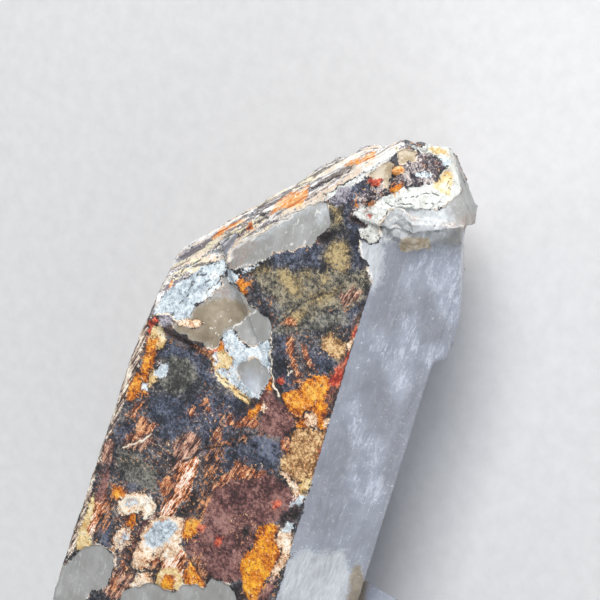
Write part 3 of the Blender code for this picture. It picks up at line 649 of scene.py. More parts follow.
                     (286, 521), (283, 526)],
        "maroon_hole": [(242, 531), (246, 524), (251, 526), (251, 536), (245, 539)],
        "right_edge": [(326, 418), (327, 408), (333, 400), (338, 390), (343, 380), (341, 392), (336, 404),
                       (331, 416)],
        "right_edge_high": [(344, 372), (349, 356), (353, 344), (355, 346), (351, 360), (346, 374)],
        "v_side": [(272, 392), (276, 384), (281, 394), (286, 406), (281, 404), (275, 397)],
        "lower_edge": [(362, 310), (367, 298), (371, 285), (372, 290), (368, 303), (358, 322), (353, 330),
                       (353, 322)],
        "streak_foot": [(178, 516), (184, 508), (190, 498), (196, 490), (198, 504), (192, 517)],
        "v_point": [(250, 408), (251, 400), (256, 398), (258, 401), (253, 408)],
        "shadow_under_cap_corner": [(352, 222), (351, 214), (356, 217), (364, 223), (370, 224), (364, 228), (358, 224)],
        "foot": [(204, 582), (207, 574), (213, 576), (216, 580), (208, 584)],
        "foot_right": [(232, 590), (240, 584), (244, 592), (247, 600), (240, 600)],
        "nodule_gap": [(120, 556), (124, 548), (132, 550), (134, 560), (128, 566)],
        "facet_lumps": [(317, 240), (320, 235), (326, 234), (334, 232), (330, 240), (324, 244)],
    },
}
print("outlines:", sum(len(kind) for kind in PATCHES.values()), "in", len(PATCHES), "kinds")

# %% [markdown]
# ## Measuring the distances
# The distance from a point to an outline is the least of its distances to the outline's sides, and
# its sign comes from counting how many sides a line drawn from the point to the right crosses. Only
# points near an outline are measured, and they are first pushed about by slow noise, which bends the
# straight sides. Faces turned away from the camera have no outlines. Their patches come from slow
# noise in space instead, and the faces round the corner from the bare right face are mostly bare too.
# Each noise is read at an offset of its own, the last number of its call, so that no two are alike.

# %% Read the mesh into arrays
count = len(crystal_mesh.vertices)
flat_list = np.empty(count * 3)
crystal_mesh.vertices.foreach_get("co", flat_list)
places = flat_list.reshape(-1, 3).copy()
crystal_mesh.vertices.foreach_get("normal", flat_list)
normals = flat_list.reshape(-1, 3).copy()
pixels = in_picture(places)
print("vertices:", count)


# %% Noise and smooth steps at every vertex
def smooth_step(values, low, high):
    """Nought below low, one above high, and smooth between."""
    t = np.clip((values - low) / (high - low), 0.0, 1.0)
    return t * t * (3 - 2 * t)


def field(size, octaves=1, offset=0.0):
    """Noise with features of a size in millimetres, from about -1 to 1, at every vertex."""
    scaled = places / size + offset
    if octaves == 1:
        return np.array([noise.noise(Vector(point)) for point in scaled])
    return np.array([noise.fractal(Vector(point), 0.8, 2.1, octaves) for point in scaled])


# %% Distances to lines and outlines
FAR = 1e9


def distance_to_line(line, points):
    """Distance in pixels from points to a line of several straight pieces."""
    nearest = np.full(len(points), FAR)
    for start, end in zip(line[:-1], line[1:]):
        side = np.array(end, float) - start
        offset = points - start
        along = np.clip(offset @ side / (side @ side), 0.0, 1.0)
        nearest = np.minimum(nearest, np.hypot(*(offset - along[:, None] * side).T))
    return nearest


def inside(outline, points):
    """Signed distance of points to an outline, in pixels, positive inside it."""
    closed = [*outline, outline[0]]
    crossings = np.zeros(len(points), int)
    for (ax, ay), (bx, by) in zip(closed[:-1], closed[1:]):
        if ay != by:
            spans = (ay > points[:, 1]) != (by > points[:, 1])
            crossings += spans & (points[:, 0] < ax + (points[:, 1] - ay) * (bx - ax) / (by - ay))
    nearest = distance_to_line(closed, points)
    return np.where(crossings % 2 == 1, nearest, -nearest)


# %% Bend the picture a little, and measure in it
# How far from an outline it is measured, and how far the noise pushes its sides, both in pixels
REACH = 14.0
BEND = 2.4
bent = pixels + BEND * np.stack([field(2.0, 3, 83.0), field(2.0, 3, 89.0)], axis=1)


def distance_to(outlines):
    """Signed distance in millimetres to the nearest of several outlines, measured up to a reach."""
    best = np.full(count, -REACH)
    for outline in outlines:
        low = np.min(outline, axis=0) - REACH
        high = np.max(outline, axis=0) + REACH
        near = np.all((bent > low) & (bent < high), axis=1)
        best[near] = np.maximum(best[near], inside(outline, bent[near]))
    return best * MM_PER_PIXEL


# %% Where the outlines hold, and where noise takes over
# The outlines end a little beyond the left and lower edge of what the picture shows
OUTLINES_LEFT = 40
OUTLINES_FOOT = 606
facing = normals @ np.array(towards)
drawn = (facing > 0.02) & (pixels[:, 0] > OUTLINES_LEFT) & (pixels[:, 1] < OUTLINES_FOOT)
distances = {kind: distance_to(outlines.values()) for kind, outlines in PATCHES.items()}
print("share of vertices under the outlines:", round(float(np.mean(drawn)), 2))

# %% Patches of the hidden faces
# How high the noise has to be for a kind of patch on a face that the picture doesn't show
NEVER = 9.0
HIDDEN_SIZE = 7.0
MM_PER_STEP_OF_NOISE = 2.2
RARITY = {"blue_grey": 0.05, "grey": 0.25, "olive": 0.25, "ochre": 0.45, "brown": 0.25, "rust": 0.42,
          "maroon": 0.4, "streaked": 0.6, "thin_streaks": 0.45, "sand": 0.5, "orange": 0.6,
          "yellow": 0.65, "red": 0.9, "pale_yellow": 0.7, "cream": 0.45, "white": 0.5, "black_coat_and_painted_shade": 0.7,
          "chalk": 0.7, "buff": 0.9, "speckled": 0.8, "rusty_specks": 0.8,
          "tan": 0.9, "milky": 0.0, "smoke_and_painted_shade": 0.25, "frost_and_painted_light": 0.6, "blush": 0.6, "violet": NEVER,
          "tip_bands": NEVER, "strip_orange": NEVER, "edge_bands": NEVER, "cap_coat": NEVER}
for number, (kind, level) in enumerate(RARITY.items()):
    own = field(HIDDEN_SIZE, 3, 20.0 + 3.7 * number)
    distances[kind] = np.where(drawn, distances[kind], (own - level) * MM_PER_STEP_OF_NOISE)
print("kinds of patch on the hidden faces:", sum(level < NEVER for level in RARITY.values()))

# %% Which hidden faces are bare
# How bare each hidden prism face is, by the turn of its normal from the front face's, in degrees
BARENESS = {120: 0.75, 60: 0.8, 180: 0.15}
LEFT_BARENESS = -0.45
barer = np.full(count, -0.05)
for turned, bareness in BARENESS.items():
    outwards = (cos(radians(90 - turned)), 0.0, sin(radians(90 - turned)))
    barer[normals @ np.array(outwards) > 0.8] = bareness
barer[normals[:, 0] < -0.6] = LEFT_BARENESS
slow = field(16.0, 4, 3.0)
patchy = field(6.0, 4, 11.0)
hidden_bare = (slow * 1.3 + patchy * 0.5 + barer) * 2.5
bare = np.where(drawn, distances["bare"], hidden_bare)

# A small lens of coat lies on the tan facet
lens = distance_to([PATCHES["cream"]["lens"]])
bare = np.where(drawn, np.minimum(bare, -lens), bare)

# %% The right face and the side crystal are bare, whatever the outlines beside them say
CAP_START = 17.5
below_edge = np.clip(-places[:, 2] - 0.1, 0.0, 2.0)
right_face = drawn & (places[:, 2] < -0.35) & (normals[:, 0] > 0.15) & (places[:, 1] < CAP_START)
bare = np.where(right_face, np.maximum(bare, below_edge), bare)
side_crystal = (places[:, 0] > 13.5) & (places[:, 1] < -45) & (places[:, 2] < -8.0)
bare = np.where(side_crystal, np.maximum(bare, 0.6 + slow), bare)
distances["bare"] = bare

# The lavender of the right face fades out under the cap, where the quartz is broken like a shell
under_cap = drawn & (places[:, 1] >= CAP_START - 2) & (pixels[:, 0] > 378) & (pixels[:, 1] > 205)
clear = np.where(right_face | side_crystal | (~drawn & (normals[:, 0] > 0.3)), 1.0, 0.0)
clear *= 1 - 0.85 * smooth_step(places[:, 1], CAP_START - 3, CAP_START + 2)
print("share of bare vertices:", round(float(np.mean(bare > 0)), 2))

# %% [markdown]
# ## Relief of the skin
# The skin is a fraction of a millimetre thick, ends in a small step at its edge, and is rough with
# grains, pores and cracks. The bare faces are smooth, with faint growth steps across them. A Displace
# modifier could raise all this from textures, but then the outlines couldn't steer it. So each cause
# of relief is an array of heights in millimetres, and the vertices move by the sum.

# %% Steps and grain
skin = 1.0 - smooth_step(distances["bare"], -0.2, 0.2)
grain = field(0.85, 3, 31.0)
lumps = field(2.6, 3, 37.0)
waves = field(7.0, 2, 41.0)
height = skin * (0.20 + 0.12 * grain + 0.12 * lumps + 0.08 * waves)
THICKER = {"maroon": 0.08, "orange": 0.10, "yellow": 0.08, "cream": 0.04, "cap_coat": 0.18, "rust": 0.05,
           "white": -0.05, "chalk": -0.03, "black_coat_and_painted_shade": -0.16, "grey": -0.04, "sand": 0.03}
for kind, rise in THICKER.items():
    height += skin * rise * smooth_step(distances[kind], -0.25, 0.35)
height += smooth_step(distances["cap_coat"], -0.2, 0.4) * 0.34 * np.abs(field(1.4, 3, 47.0))
height += smooth_step(distances["maroon"], -0.2, 0.3) * 0.06 * field(0.6, 1, 43.0)
print("mean height of the skin in mm:", round(float(height[skin > 0.5].mean()), 2))

# %% Long fine streaks
streak_run = Vector((0.27, 0.96, 0.0)).normalized()
strip_run = Vector((0.672, 0.74, 0.0)).normalized()


def streaks(run, width, length, offset):
    """Noise drawn out along a direction that lies in the front face."""
    along = places @ np.array(run)
    aside = places @ np.array((-run.y, run.x, 0.0))
    flat = np.stack([aside / width, along / length, places[:, 2] / width], axis=1) + offset
    return np.array([noise.fractal(Vector(point), 0.8, 2.1, 3) for point in flat])


rusty_streaks = streaks(streak_run, 0.7, 9.0, 51.0)
for kind in ("streaked", "thin_streaks", "edge_bands"):
    height += smooth_step(distances[kind], -0.3, 0.3) * 0.14 * rusty_streaks
height += smooth_step(distances["tip_bands"], -0.3, 0.3) * 0.26 * streaks(strip_run, 0.9, 11.0, 57.0)
print("highest relief so far in mm:", round(float(height.max()), 2))

# %% Cracks and ridges, drawn as lines in the picture: their points, width in pixels and depth
CRACKS = {
    "long": ([(184, 461), (192, 456), (203, 450), (216, 447), (232, 446), (241, 441), (252, 435),
              (264, 430)], 1.5, 0.30),
    "middle": ([(283, 319), (292, 311), (300, 305), (310, 299), (322, 295), (334, 292), (345, 288)],
               1.4, 0.28),
    "upper": ([(282, 269), (291, 265), (299, 260), (306, 255), (314, 249)], 1.3, 0.22),
    "neck": ([(316, 241), (326, 240), (336, 234), (343, 228), (350, 226)], 1.5, 0.26),
    "lower_step": ([(277, 332), (284, 327), (297, 326), (311, 323)], 1.2, 0.2),
    "notch": ([(322, 333), (330, 329), (337, 328)], 1.1, 0.2),
    "right_low": ([(294, 428), (306, 427), (316, 427)], 1.0, 0.2),
    "right_fork": ([(294, 422), (301, 417), (306, 412)], 1.0, 0.2),
    "v_side": ([(269, 338), (269, 356), (270, 372), (274, 384), (280, 391)], 1.1, 0.22),
    "v_left": ([(217, 373), (225, 381), (238, 392), (248, 398), (253, 406)], 1.1, 0.2),
    "clay_a": ([(178, 303), (184, 297), (190, 292)], 1.2, 0.14),
    "clay_b": ([(192, 286), (196, 280), (199, 276)], 0.9, 0.12),
    "clay_c": ([(201, 275), (206, 275)], 1.2, 0.12),
    "clay_d": ([(206, 282), (210, 279)], 1.1, 0.10),
    "clay_e": ([(213, 264), (220, 261)], 1.1, 0.10),
    "clay_f": ([(216, 257), (222, 252), (230, 244), (240, 235), (252, 227)], 1.0, 0.14),
    "clay_g": ([(205, 293), (212, 288), (219, 282), (224, 272), (226, 262)], 0.9, 0.10),
    "clay_h": ([(188, 290), (194, 280), (202, 270), (212, 260)], 0.8, 0.07),
    "strip_a": ([(182, 272), (196, 262), (212, 250), (226, 240), (246, 229), (270, 217)], 1.0, 0.14),
    "strip_b": ([(252, 217), (262, 215), (270, 214)], 1.3, 0.14),
    "strip_c": ([(308, 190), (322, 184), (340, 177), (352, 170)], 1.2, 0.14),
    "cap_a": ([(396, 201), (408, 198), (418, 196), (430, 194), (440, 195)], 0.8, 0.08),
    "cap_b": ([(384, 203), (392, 206), (399, 204), (412, 205)], 0.8, 0.08),
    "cap_c": ([(424, 203), (434, 204), (442, 201)], 0.8, 0.08),
    "cap_d": ([(444, 176), (450, 180), (446, 186), (452, 190)], 0.8, 0.06),
    "cap_floor": ([(386, 212), (392, 209), (404, 209), (416, 209), (430, 209), (446, 208)], 1.0, 0.14),
    "ledge_a": ([(363, 232), (370, 231)], 0.9, 0.14),
    "ledge_b": ([(363, 237), (371, 236)], 0.9, 0.14),
    "lump_dot": ([(430, 244), (431, 249)], 1.3, 0.2),
    "river": ([(158, 508), (148, 518), (141, 528), (138, 542), (133, 553)], 1.2, 0.2),
    "nodules_left": ([(133, 553), (128, 562), (134, 571), (146, 572), (156, 569)], 1.3, 0.2),
    "nodules_mid": ([(164, 550), (158, 559), (160, 569), (155, 582)], 1.2, 0.2),
    "nodules_right": ([(183, 548), (189, 556), (193, 566), (203, 578)], 1.2, 0.2),
}
RIDGES = {
    "facet_seam": ([(228, 333), (238, 325), (248, 316), (256, 311)], 0.9, 0.06),
    "lip": ([(210, 328), (215, 331), (219, 336)], 0.6, 0.12),
    "facet_top": ([(228, 262), (235, 249), (255, 237), (280, 222), (298, 212), (312, 204), (323, 200)],
                  1.6, 0.10),
    "facet_foot": ([(236, 269), (252, 264), (269, 257), (274, 252)], 0.9, 0.08),
    "fleck_a": ([(294, 226), (297, 224), (299, 221)], 1.1, 0.06),
    "fleck_b": ([(301, 227), (303, 225)], 1.0, 0.06),
    "fleck_c": ([(286, 233), (288, 231)], 0.9, 0.05),
    "fleck_d": ([(276, 234), (278, 233)], 0.8, 0.05),
    "fleck_e": ([(291, 244), (292, 243)], 1.1, 0.05),
    "fleck_f": ([(287, 246), (288, 245)], 0.9, 0.05),
    "fleck_g": ([(266, 250), (267, 247)], 0.8, 0.05),
    "fleck_h": ([(304, 244), (305, 242)], 0.8, 0.05),
    "fleck_i": ([(314, 231), (316, 229)], 1.0, 0.05),
    "fleck_j": ([(315, 215), (317, 211), (320, 214)], 1.2, 0.06),
    "left_line": ([(124, 446), (135, 444), (145, 439), (152, 434)], 1.1, 0.14),
    "v_line": ([(272, 339), (272, 356), (272, 372), (274, 386), (280, 397)], 1.0, 0.16),
    "coat_edge": ([(361, 241), (362, 250), (363, 257)], 1.0, 0.12),
    "coat_edge_low": ([(371, 274), (373, 284)], 1.1, 0.12),
    "under_cap_a": ([(403, 211), (410, 217), (420, 220), (434, 220), (448, 223), (464, 227)], 0.9, 0.2),
    "under_cap_b": ([(412, 223), (424, 225), (440, 226), (456, 227)], 0.8, 0.16),
    "under_cap_d": ([(386, 214), (394, 209), (404, 211), (412, 216)], 0.8, 0.14),
    "under_cap_e": ([(387, 222), (396, 217), (406, 221), (410, 228)], 0.7, 0.12),
    "under_cap_f": ([(388, 230), (396, 226), (404, 231), (408, 238)], 0.7, 0.12),
    "under_cap_g": ([(384, 239), (394, 236), (404, 240)], 0.8, 0.12),
    "under_cap_c": ([(440, 232), (448, 236)], 1.0, 0.12),
    "cap_left": ([(390, 210), (385, 217), (380, 223), (380, 236)], 1.2, 0.16),
    "green_streak": ([(288, 376), (291, 372), (295, 367)], 1.0, 0.08),
    "pit": ([(123, 503), (128, 497), (138, 496), (142, 503), (138, 512), (128, 514), (123, 508),
             (123, 503)], 1.5, 0.3),
    "pit_right": ([(144, 497), (152, 500), (156, 507), (152, 513), (145, 518)], 1.2, 0.2),
    "clay_edge": ([(158, 314), (168, 314), (177, 322), (190, 318)], 1.0, 0.12),
}


# %% The shape of a line in the relief
def line_shape(lines):
    """How near each vertex is to a set of lines, from 0 to 1, and the height they add in millimetres."""
    nearness = np.zeros(count)
    added = np.zeros(count)
    for line, width, rise in lines.values():
        reach = np.where(drawn, distance_to_line(line, bent), FAR)
        shape = np.exp(-(reach / width) ** 2)
        nearness = np.maximum(nearness, shape)
        added = np.maximum(added, rise * shape)
    return nearness, added


# %% Add the cracks and ridges
crack, crack_depth = line_shape(CRACKS)
ridge, ridge_rise = line_shape(RIDGES)
height += ridge_rise - crack_depth
print("cracks:", len(CRACKS), " ridges:", len(RIDGES))

# %% Nodules: where each low dome stands in the picture, its radius in pixels and its rise
NODULES = {"white": (163, 534, 16, 0.5), "left": (123, 538, 9, 0.5), "pink": (144, 560, 11, 0.45),
           "yellow": (169, 582, 9, 0.45), "low": (143, 580, 9, 0.3), "cap": (398, 171, 6, 0.9),
           "cap_low": (396, 189, 4.5, 0.5), "tip": (377, 181, 6, 0.4), "corner": (245, 288, 7, 0.3),
           "left_lump": (167, 320, 8, 0.4)}
for x, y, radius, rise in NODULES.values():
    reach = np.hypot(pixels[:, 0] - x, (pixels[:, 1] - y) * 1.1) / radius
    height += np.where(drawn, rise * np.clip(1 - reach ** 2, 0, 1), 0)
print("nodules:", len(NODULES))

# %% Faint growth steps and hollows on the bare faces, and shell-like ripples under the cap
SHELL_MIDDLE = (396, 232)
SHELL_FOOT = 246
uncoated = 1.0 - skin
steps = np.sin((places[:, 1] + 1.5 * field(12.0, 2, 71.0)) * 2.2)
height += uncoated * (0.012 * steps + 0.035 * field(4.5, 2, 73.0))
shell = np.hypot(pixels[:, 0] - SHELL_MIDDLE[0], pixels[:, 1] - SHELL_MIDDLE[1])
shelly = uncoated * under_cap * (pixels[:, 1] < SHELL_FOOT)
height += shelly * (0.10 * np.sin(shell * 0.75) + 0.22 * field(1.5, 3, 79.0))
print("vertices in the shell-like break:", int(np.count_nonzero(shelly > 0.5)))

# %% Move the vertices and store the distances
# The relief has a limit both ways, and the face that the crystal rests on stays flat
DEEPEST = -0.6
HIGHEST = 1.1
moved = places + normals * np.clip(height, DEEPEST, HIGHEST)[:, None]
resting = (normals[:, 2] < -0.95) & (places[:, 2] < FLOOR_LEVEL + 0.1)
moved[resting] = places[resting]
moved[:, 2] = np.maximum(moved[:, 2], FLOOR_LEVEL)
world = (moved + np.array(DATUM)) * MM
crystal_mesh.vertices.foreach_set("co", world.ravel())


def store(name, values):
    """Keep a number at every vertex, for the material to read."""
    layer = crystal_mesh.attributes.new(name, "FLOAT", "POINT")
    layer.data.foreach_set("value", values.astype(np.float32))


for kind, values in distances.items():
    store(kind, np.clip(values, -4.0, 4.0))
store("crack", crack)
store("ridge", ridge)
store("clear", clear)
crystal_mesh.shade_smooth()
crystal_mesh.update()
crystal = bpy.data.objects.new("coated_quartz", crystal_mesh)
bpy.context.scene.collection.objects.link(crystal)
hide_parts("quartz_crystal")
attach(crystal, "root")
print("numbers stored at each vertex:", len(distances) + 3, " resting vertices:", int(resting.sum()))

# %% [markdown]
# ## One material for the whole specimen
# Bare quartz lets light through and the skin doesn't, but they are one surface, so one shader serves
# both and the stored distances decide between them. The patches are laid over each other like coats
# of paint. Each has a mask, which is its distance roughened by noise and cut off at nought, and a
# colour, which runs between a dark, a middle and a light tone. The tones are given as they look on a
# screen and made linear here.

# %% Helpers for the node tree
material = bpy.data.materials.new("quartz_and_skin")
material.use_nodes = True
tree = material.node_tree
shader = tree.nodes["Principled BSDF"]


def linear(red, green, blue):
    """A screen colour, from 0 to 255, as the shader's linear colour."""
    return tuple((value / 255) ** 2.2 for value in (red, green, blue)) + (1.0,)


def add(kind, inputs=(), **settings):
    """Add a node. Its inputs are numbers or colours, or the outputs of other nodes."""
    made = tree.nodes.new("ShaderNode" + kind)
    for name, value in settings.items():
        setattr(made, name, value)
    for key, value in dict(inputs).items():
        if isinstance(value, bpy.types.NodeSocket):
            tree.links.new(value, made.inputs[key])
        else:
            made.inputs[key].default_value = value
    return made


def stored(name):
    """A number stored at the vertices."""
    return add("Attribute", attribute_name=name).outputs["Fac"]


def maths(operation, first, second=0.0, third=0.0):
    """One step of arithmetic."""
    return add("Math", {0: first, 1: second, 2: third}, operation=operation).outputs[0]


def noise_of(size, detail=3.0, roughness=0.6, vector=None, distortion=0.0):
    """Noise with features of a size in millimetres."""
    return add("TexNoise", {"Vector": vector or spot, "Scale": 1 / (size * MM), "Detail": detail,
                            "Roughness": roughness, "Distortion": distortion}).outputs["Fac"]


def centred_sum(*shares):
    """Noises added together, each less its middle and times its share."""
    total = 0.0
    for source, share in shares:
        total = maths("MULTIPLY_ADD", maths("SUBTRACT", source, 0.5), share, total)
    return total


def ramp(value, *stops):
    """Tones along a number: each stop is a place and a screen colour."""
    made = add("ValToRGB", {0: value})
    line = made.color_ramp.elements
    while len(line) < len(stops):
        line.new(0.5)
    for element, (place, tone) in zip(line, stops):
        element.position = place
        element.color = linear(*tone)
    return made.outputs["Color"]


def mixed(share, under, over):
    """One colour over another."""
    return add("Mix", {0: share, 6: under, 7: over}, data_type="RGBA").outputs[2]


def blend_of(share, under, over):
    """One number over another."""
    return add("Mix", {0: share, 2: under, 3: over}).outputs[0]


def between(value, low, high):
    """Nought below low, one above high."""
    return add("MapRange", {"Value": value, "From Min": low, "From Max": high},
               interpolation_type="SMOOTHSTEP").outputs["Result"]


# %% Shared noises
spot = add("TexCoord").outputs["Object"]
axis_run = Vector((0.0, 1.0, 0.0))


def drawn_out(run, length):
    """Coordinates squeezed so that noise is drawn out along a direction in the front face."""
    angle = -float(np.arctan2(run.y, run.x))
    turned = add("Mapping", {"Vector": spot, "Rotation": (0.0, 0.0, angle)})
    return add("Mapping", {"Vector": turned.outputs[0], "Scale": (1 / length, 1.0, 1.0)}).outputs[0]


fine = noise_of(0.26, 2.0)
grainy = noise_of(0.6, 3.0, 0.75)
blotches = noise_of(1.9, 4.0, 0.7)
clouds = noise_of(6.5, 2.0)
long_streaks = noise_of(0.45, 4.0, 0.75, drawn_out(streak_run, 8.0), 0.3)
strip_streaks = noise_of(2.1, 4.0, 0.75, drawn_out(strip_run, 8.0), 0.4)
axis_streaks = noise_of(1.1, 3.0, 0.6, drawn_out(axis_run, 14.0))
swirls = noise_of(1.5, 5.0, 0.68, drawn_out(axis_run, 2.8), 1.1)
pores = add("TexVoronoi", {"Vector": spot, "Scale": 1 / (0.75 * MM)}).outputs["Distance"]
small_pores = add("TexVoronoi", {"Vector": spot, "Scale": 1 / (0.4 * MM)}).outputs["Distance"]
bending = add("TexNoise", {"Vector": spot, "Scale": 1 / (0.9 * MM), "Detail": 1.0}).outputs["Color"]
crooked = add("Mix", {0: 0.35 * MM, 4: spot, 5: bending}, data_type="VECTOR").outputs[1]
network = add("TexVoronoi", {"Vector": crooked, "Scale": 1 / (1.3 * MM)},
              feature="DISTANCE_TO_EDGE").outputs["Distance"]
fine_cracks = maths("MULTIPLY", between(network, 0.07, 0.02), between(clouds, 0.42, 0.56))
edge_noise = centred_sum((fine, 0.5), (grainy, 1.1), (blotches, 0.4))
wide_noise = centred_sum((blotches, 3.0), (clouds, 2.4))
print("nodes for the shared noises:", len(tree.nodes))


def patch(name, softness=0.08, raggedness=1.0):
    """Share of a patch at a point, from its stored distance."""
    edge = maths("MULTIPLY_ADD", edge_noise, raggedness, stored(name))
    return between(edge, -softness, softness)


# %% [markdown]
# ### Bare quartz
# The clear crystal looks milky and faintly lavender on the right face and a plain grey on the small
# facets of the front, with pale swirls that run along the axis. They are inner cracks and bubbles
# that scatter light. Real veils inside would be lost in a part this size, so they are shown as places
# where the surface lets less light through and is paler.

# %% Tones of the bare quartz
clear_share = stored("clear")
milky = patch("milky", 1.3, 1.8)
quartz_tone = maths("ADD", centred_sum((clouds, 0.8), (axis_streaks, 0.4), (blotches, 0.3)), 0.5)
grey_quartz = ramp(quartz_tone, (0.28, (158, 158, 155)), (0.5, (175, 176, 174)), (0.72, (196, 197, 196)))
lavender_quartz = ramp(quartz_tone, (0.28, (172, 177, 189)), (0.5, (190, 196, 212)), (0.72, (208, 214, 230)))
quartz = mixed(clear_share, grey_quartz, lavender_quartz)
cloud_share = maths("MULTIPLY", milky, maths("MULTIPLY_ADD", clear_share, -0.33, 0.52))
quartz = mixed(cloud_share, quartz, linear(200, 211, 236))

# %% Feathery veils in the quartz
feathers = noise_of(0.75, 4.0, 0.7, drawn_out(axis_run, 2.2), 1.5)
wisp_base = maths("MULTIPLY_ADD", milky, 0.11, centred_sum((swirls, 0.6), (feathers, 0.6)))
wisp = maths("MULTIPLY", between(wisp_base, 0.05, 0.22), maths("MULTIPLY_ADD", clear_share, 0.7, 0.3))
quartz = mixed(maths("MULTIPLY", wisp, 0.55), quartz, linear(226, 233, 248))
vein_noise = noise_of(2.4, 3.0, 0.6, drawn_out(axis_run, 2.2), 0.8)
veins = between(maths("ABSOLUTE", maths("SUBTRACT", vein_noise, 0.5)), 0.022, 0.006)
veins = maths("MULTIPLY", veins, between(blotches, 0.44, 0.60))
quartz = mixed(maths("MULTIPLY", veins, 0.40), quartz, linear(240, 243, 250))

# %% Frosted, smoky and stained quartz, with painted light under the cap and painted shade at its edge
# Frost also carries painted light: it brightens the shaded hollow under the cap.
frost_and_painted_light = patch("frost_and_painted_light", 0.9, 2.2)
frost_streaks = noise_of(0.7, 4.0, 0.7, drawn_out(axis_run, 4.0), 1.3)
frost_and_light_tone = ramp(maths("MULTIPLY_ADD", frost_streaks, 0.7, maths("MULTIPLY", clouds, 0.3)),
                  (0.36, (176, 179, 181)), (0.5, (202, 208, 213)), (0.64, (232, 236, 240)))
quartz = mixed(maths("MULTIPLY", frost_and_painted_light, 0.85), quartz, frost_and_light_tone)
# The darkening by smoke includes painted shade along the cap's right edge.
smoke_base = centred_sum((swirls, 0.6), (feathers, 0.5), (clouds, 0.3))
smoke_and_shade_share = maths("MULTIPLY", patch("smoke_and_painted_shade", 1.6, 2.2), between(smoke_base, -0.12, 0.12))
quartz = mixed(maths("MULTIPLY", smoke_and_shade_share, 0.36), quartz, linear(130, 128, 122))
tan = patch("tan", 0.5, 1.8)
tan_tone = ramp(maths("MULTIPLY_ADD", blotches, 0.5, maths("MULTIPLY", clouds, 0.5)),
                (0.36, (126, 110, 90)), (0.5, (150, 136, 115)), (0.64, (176, 162, 140)))
quartz = mixed(maths("MULTIPLY", tan, 0.9), quartz, tan_tone)
buff = patch("buff", 0.25, 1.0)
buff_tone = ramp(blotches, (0.4, (168, 148, 120)), (0.5, (194, 178, 152)), (0.6, (218, 206, 186)))
quartz = mixed(buff, quartz, buff_tone)
blush = maths("MULTIPLY", patch("blush", 0.5, 1.8), between(grainy, 0.40, 0.56))
blush_tone = ramp(fine, (0.4, (150, 124, 114)), (0.6, (206, 184, 172)))
quartz = mixed(maths("MULTIPLY", blush, 0.7), quartz, blush_tone)

# %% White specks and ridges on the bare quartz
specks = maths("MULTIPLY", between(noise_of(0.5, 3.0, 0.6), 0.66, 0.70), between(clouds, 0.44, 0.56))
quartz = mixed(maths("MULTIPLY", specks, 0.8), quartz, linear(238, 240, 244))
ridge_share = between(maths("MULTIPLY_ADD", edge_noise, 0.6, stored("ridge")), 0.35, 0.75)
quartz = mixed(maths("MULTIPLY", ridge_share, 0.75), quartz, linear(236, 234, 230))
print("nodes with the bare quartz:", len(tree.nodes))

# %% [markdown]
# ### The skin's colours
# The skin's ground is blue-black manganese oxide full of pores and specks of rust. Ochre, rust, maroon
# and orange iron oxides lie over it, and the palest patches are clay. Each row below is one coat, from
# the lowest to the highest. The edge of a ragged coat breaks up into flecks, because the noise that
# is added to its distance is as large as the patch's smaller bays.

# %% The ground
tone = maths("ADD", centred_sum((clouds, 0.8), (blotches, 1.2), (grainy, 1.4), (fine, 0.5)), 0.5)
grain_tone = maths("ADD", centred_sum((grainy, 2.6), (fine, 1.6)), 0.5)
smooth_tone = maths("ADD", centred_sum((clouds, 0.6), (blotches, 1.0), (fine, 0.35)), 0.5)
bright_tone = maths("ADD", centred_sum((clouds, 0.6), (blotches, 1.1), (grainy, 0.7), (fine, 0.5)), 0.5)
streak_tone = maths("ADD", centred_sum((long_streaks, 3.0), (blotches, 0.8), (fine, 0.5)), 0.5)
strip_tone = maths("ADD", centred_sum((strip_streaks, 3.2), (fine, 0.4)), 0.5)
skin_colour = ramp(tone, (0.24, (20, 21, 27)), (0.46, (52, 54, 62)), (0.62, (88, 89, 96)),
                   (0.8, (150, 146, 144)))
flecks = maths("MULTIPLY", between(noise_of(0.8, 3.0, 0.7), 0.58, 0.63), between(clouds, 0.42, 0.60))
skin_colour = mixed(flecks, skin_colour, ramp(fine, (0.4, (150, 92, 58)), (0.6, (212, 158, 112))))

# %% Where the coats have worn through: three noises that the coats take in turn
WEAR_OFFSETS = (0.0, 1.0, 2.0)
wear = []
for offset in WEAR_OFFSETS:
    elsewhere = add("Mapping", {"Vector": spot, "Location": (offset, 0.0, 0.0)}).outputs[0]
    wear.append(noise_of(0.7, 4.0, 0.75, elsewhere))

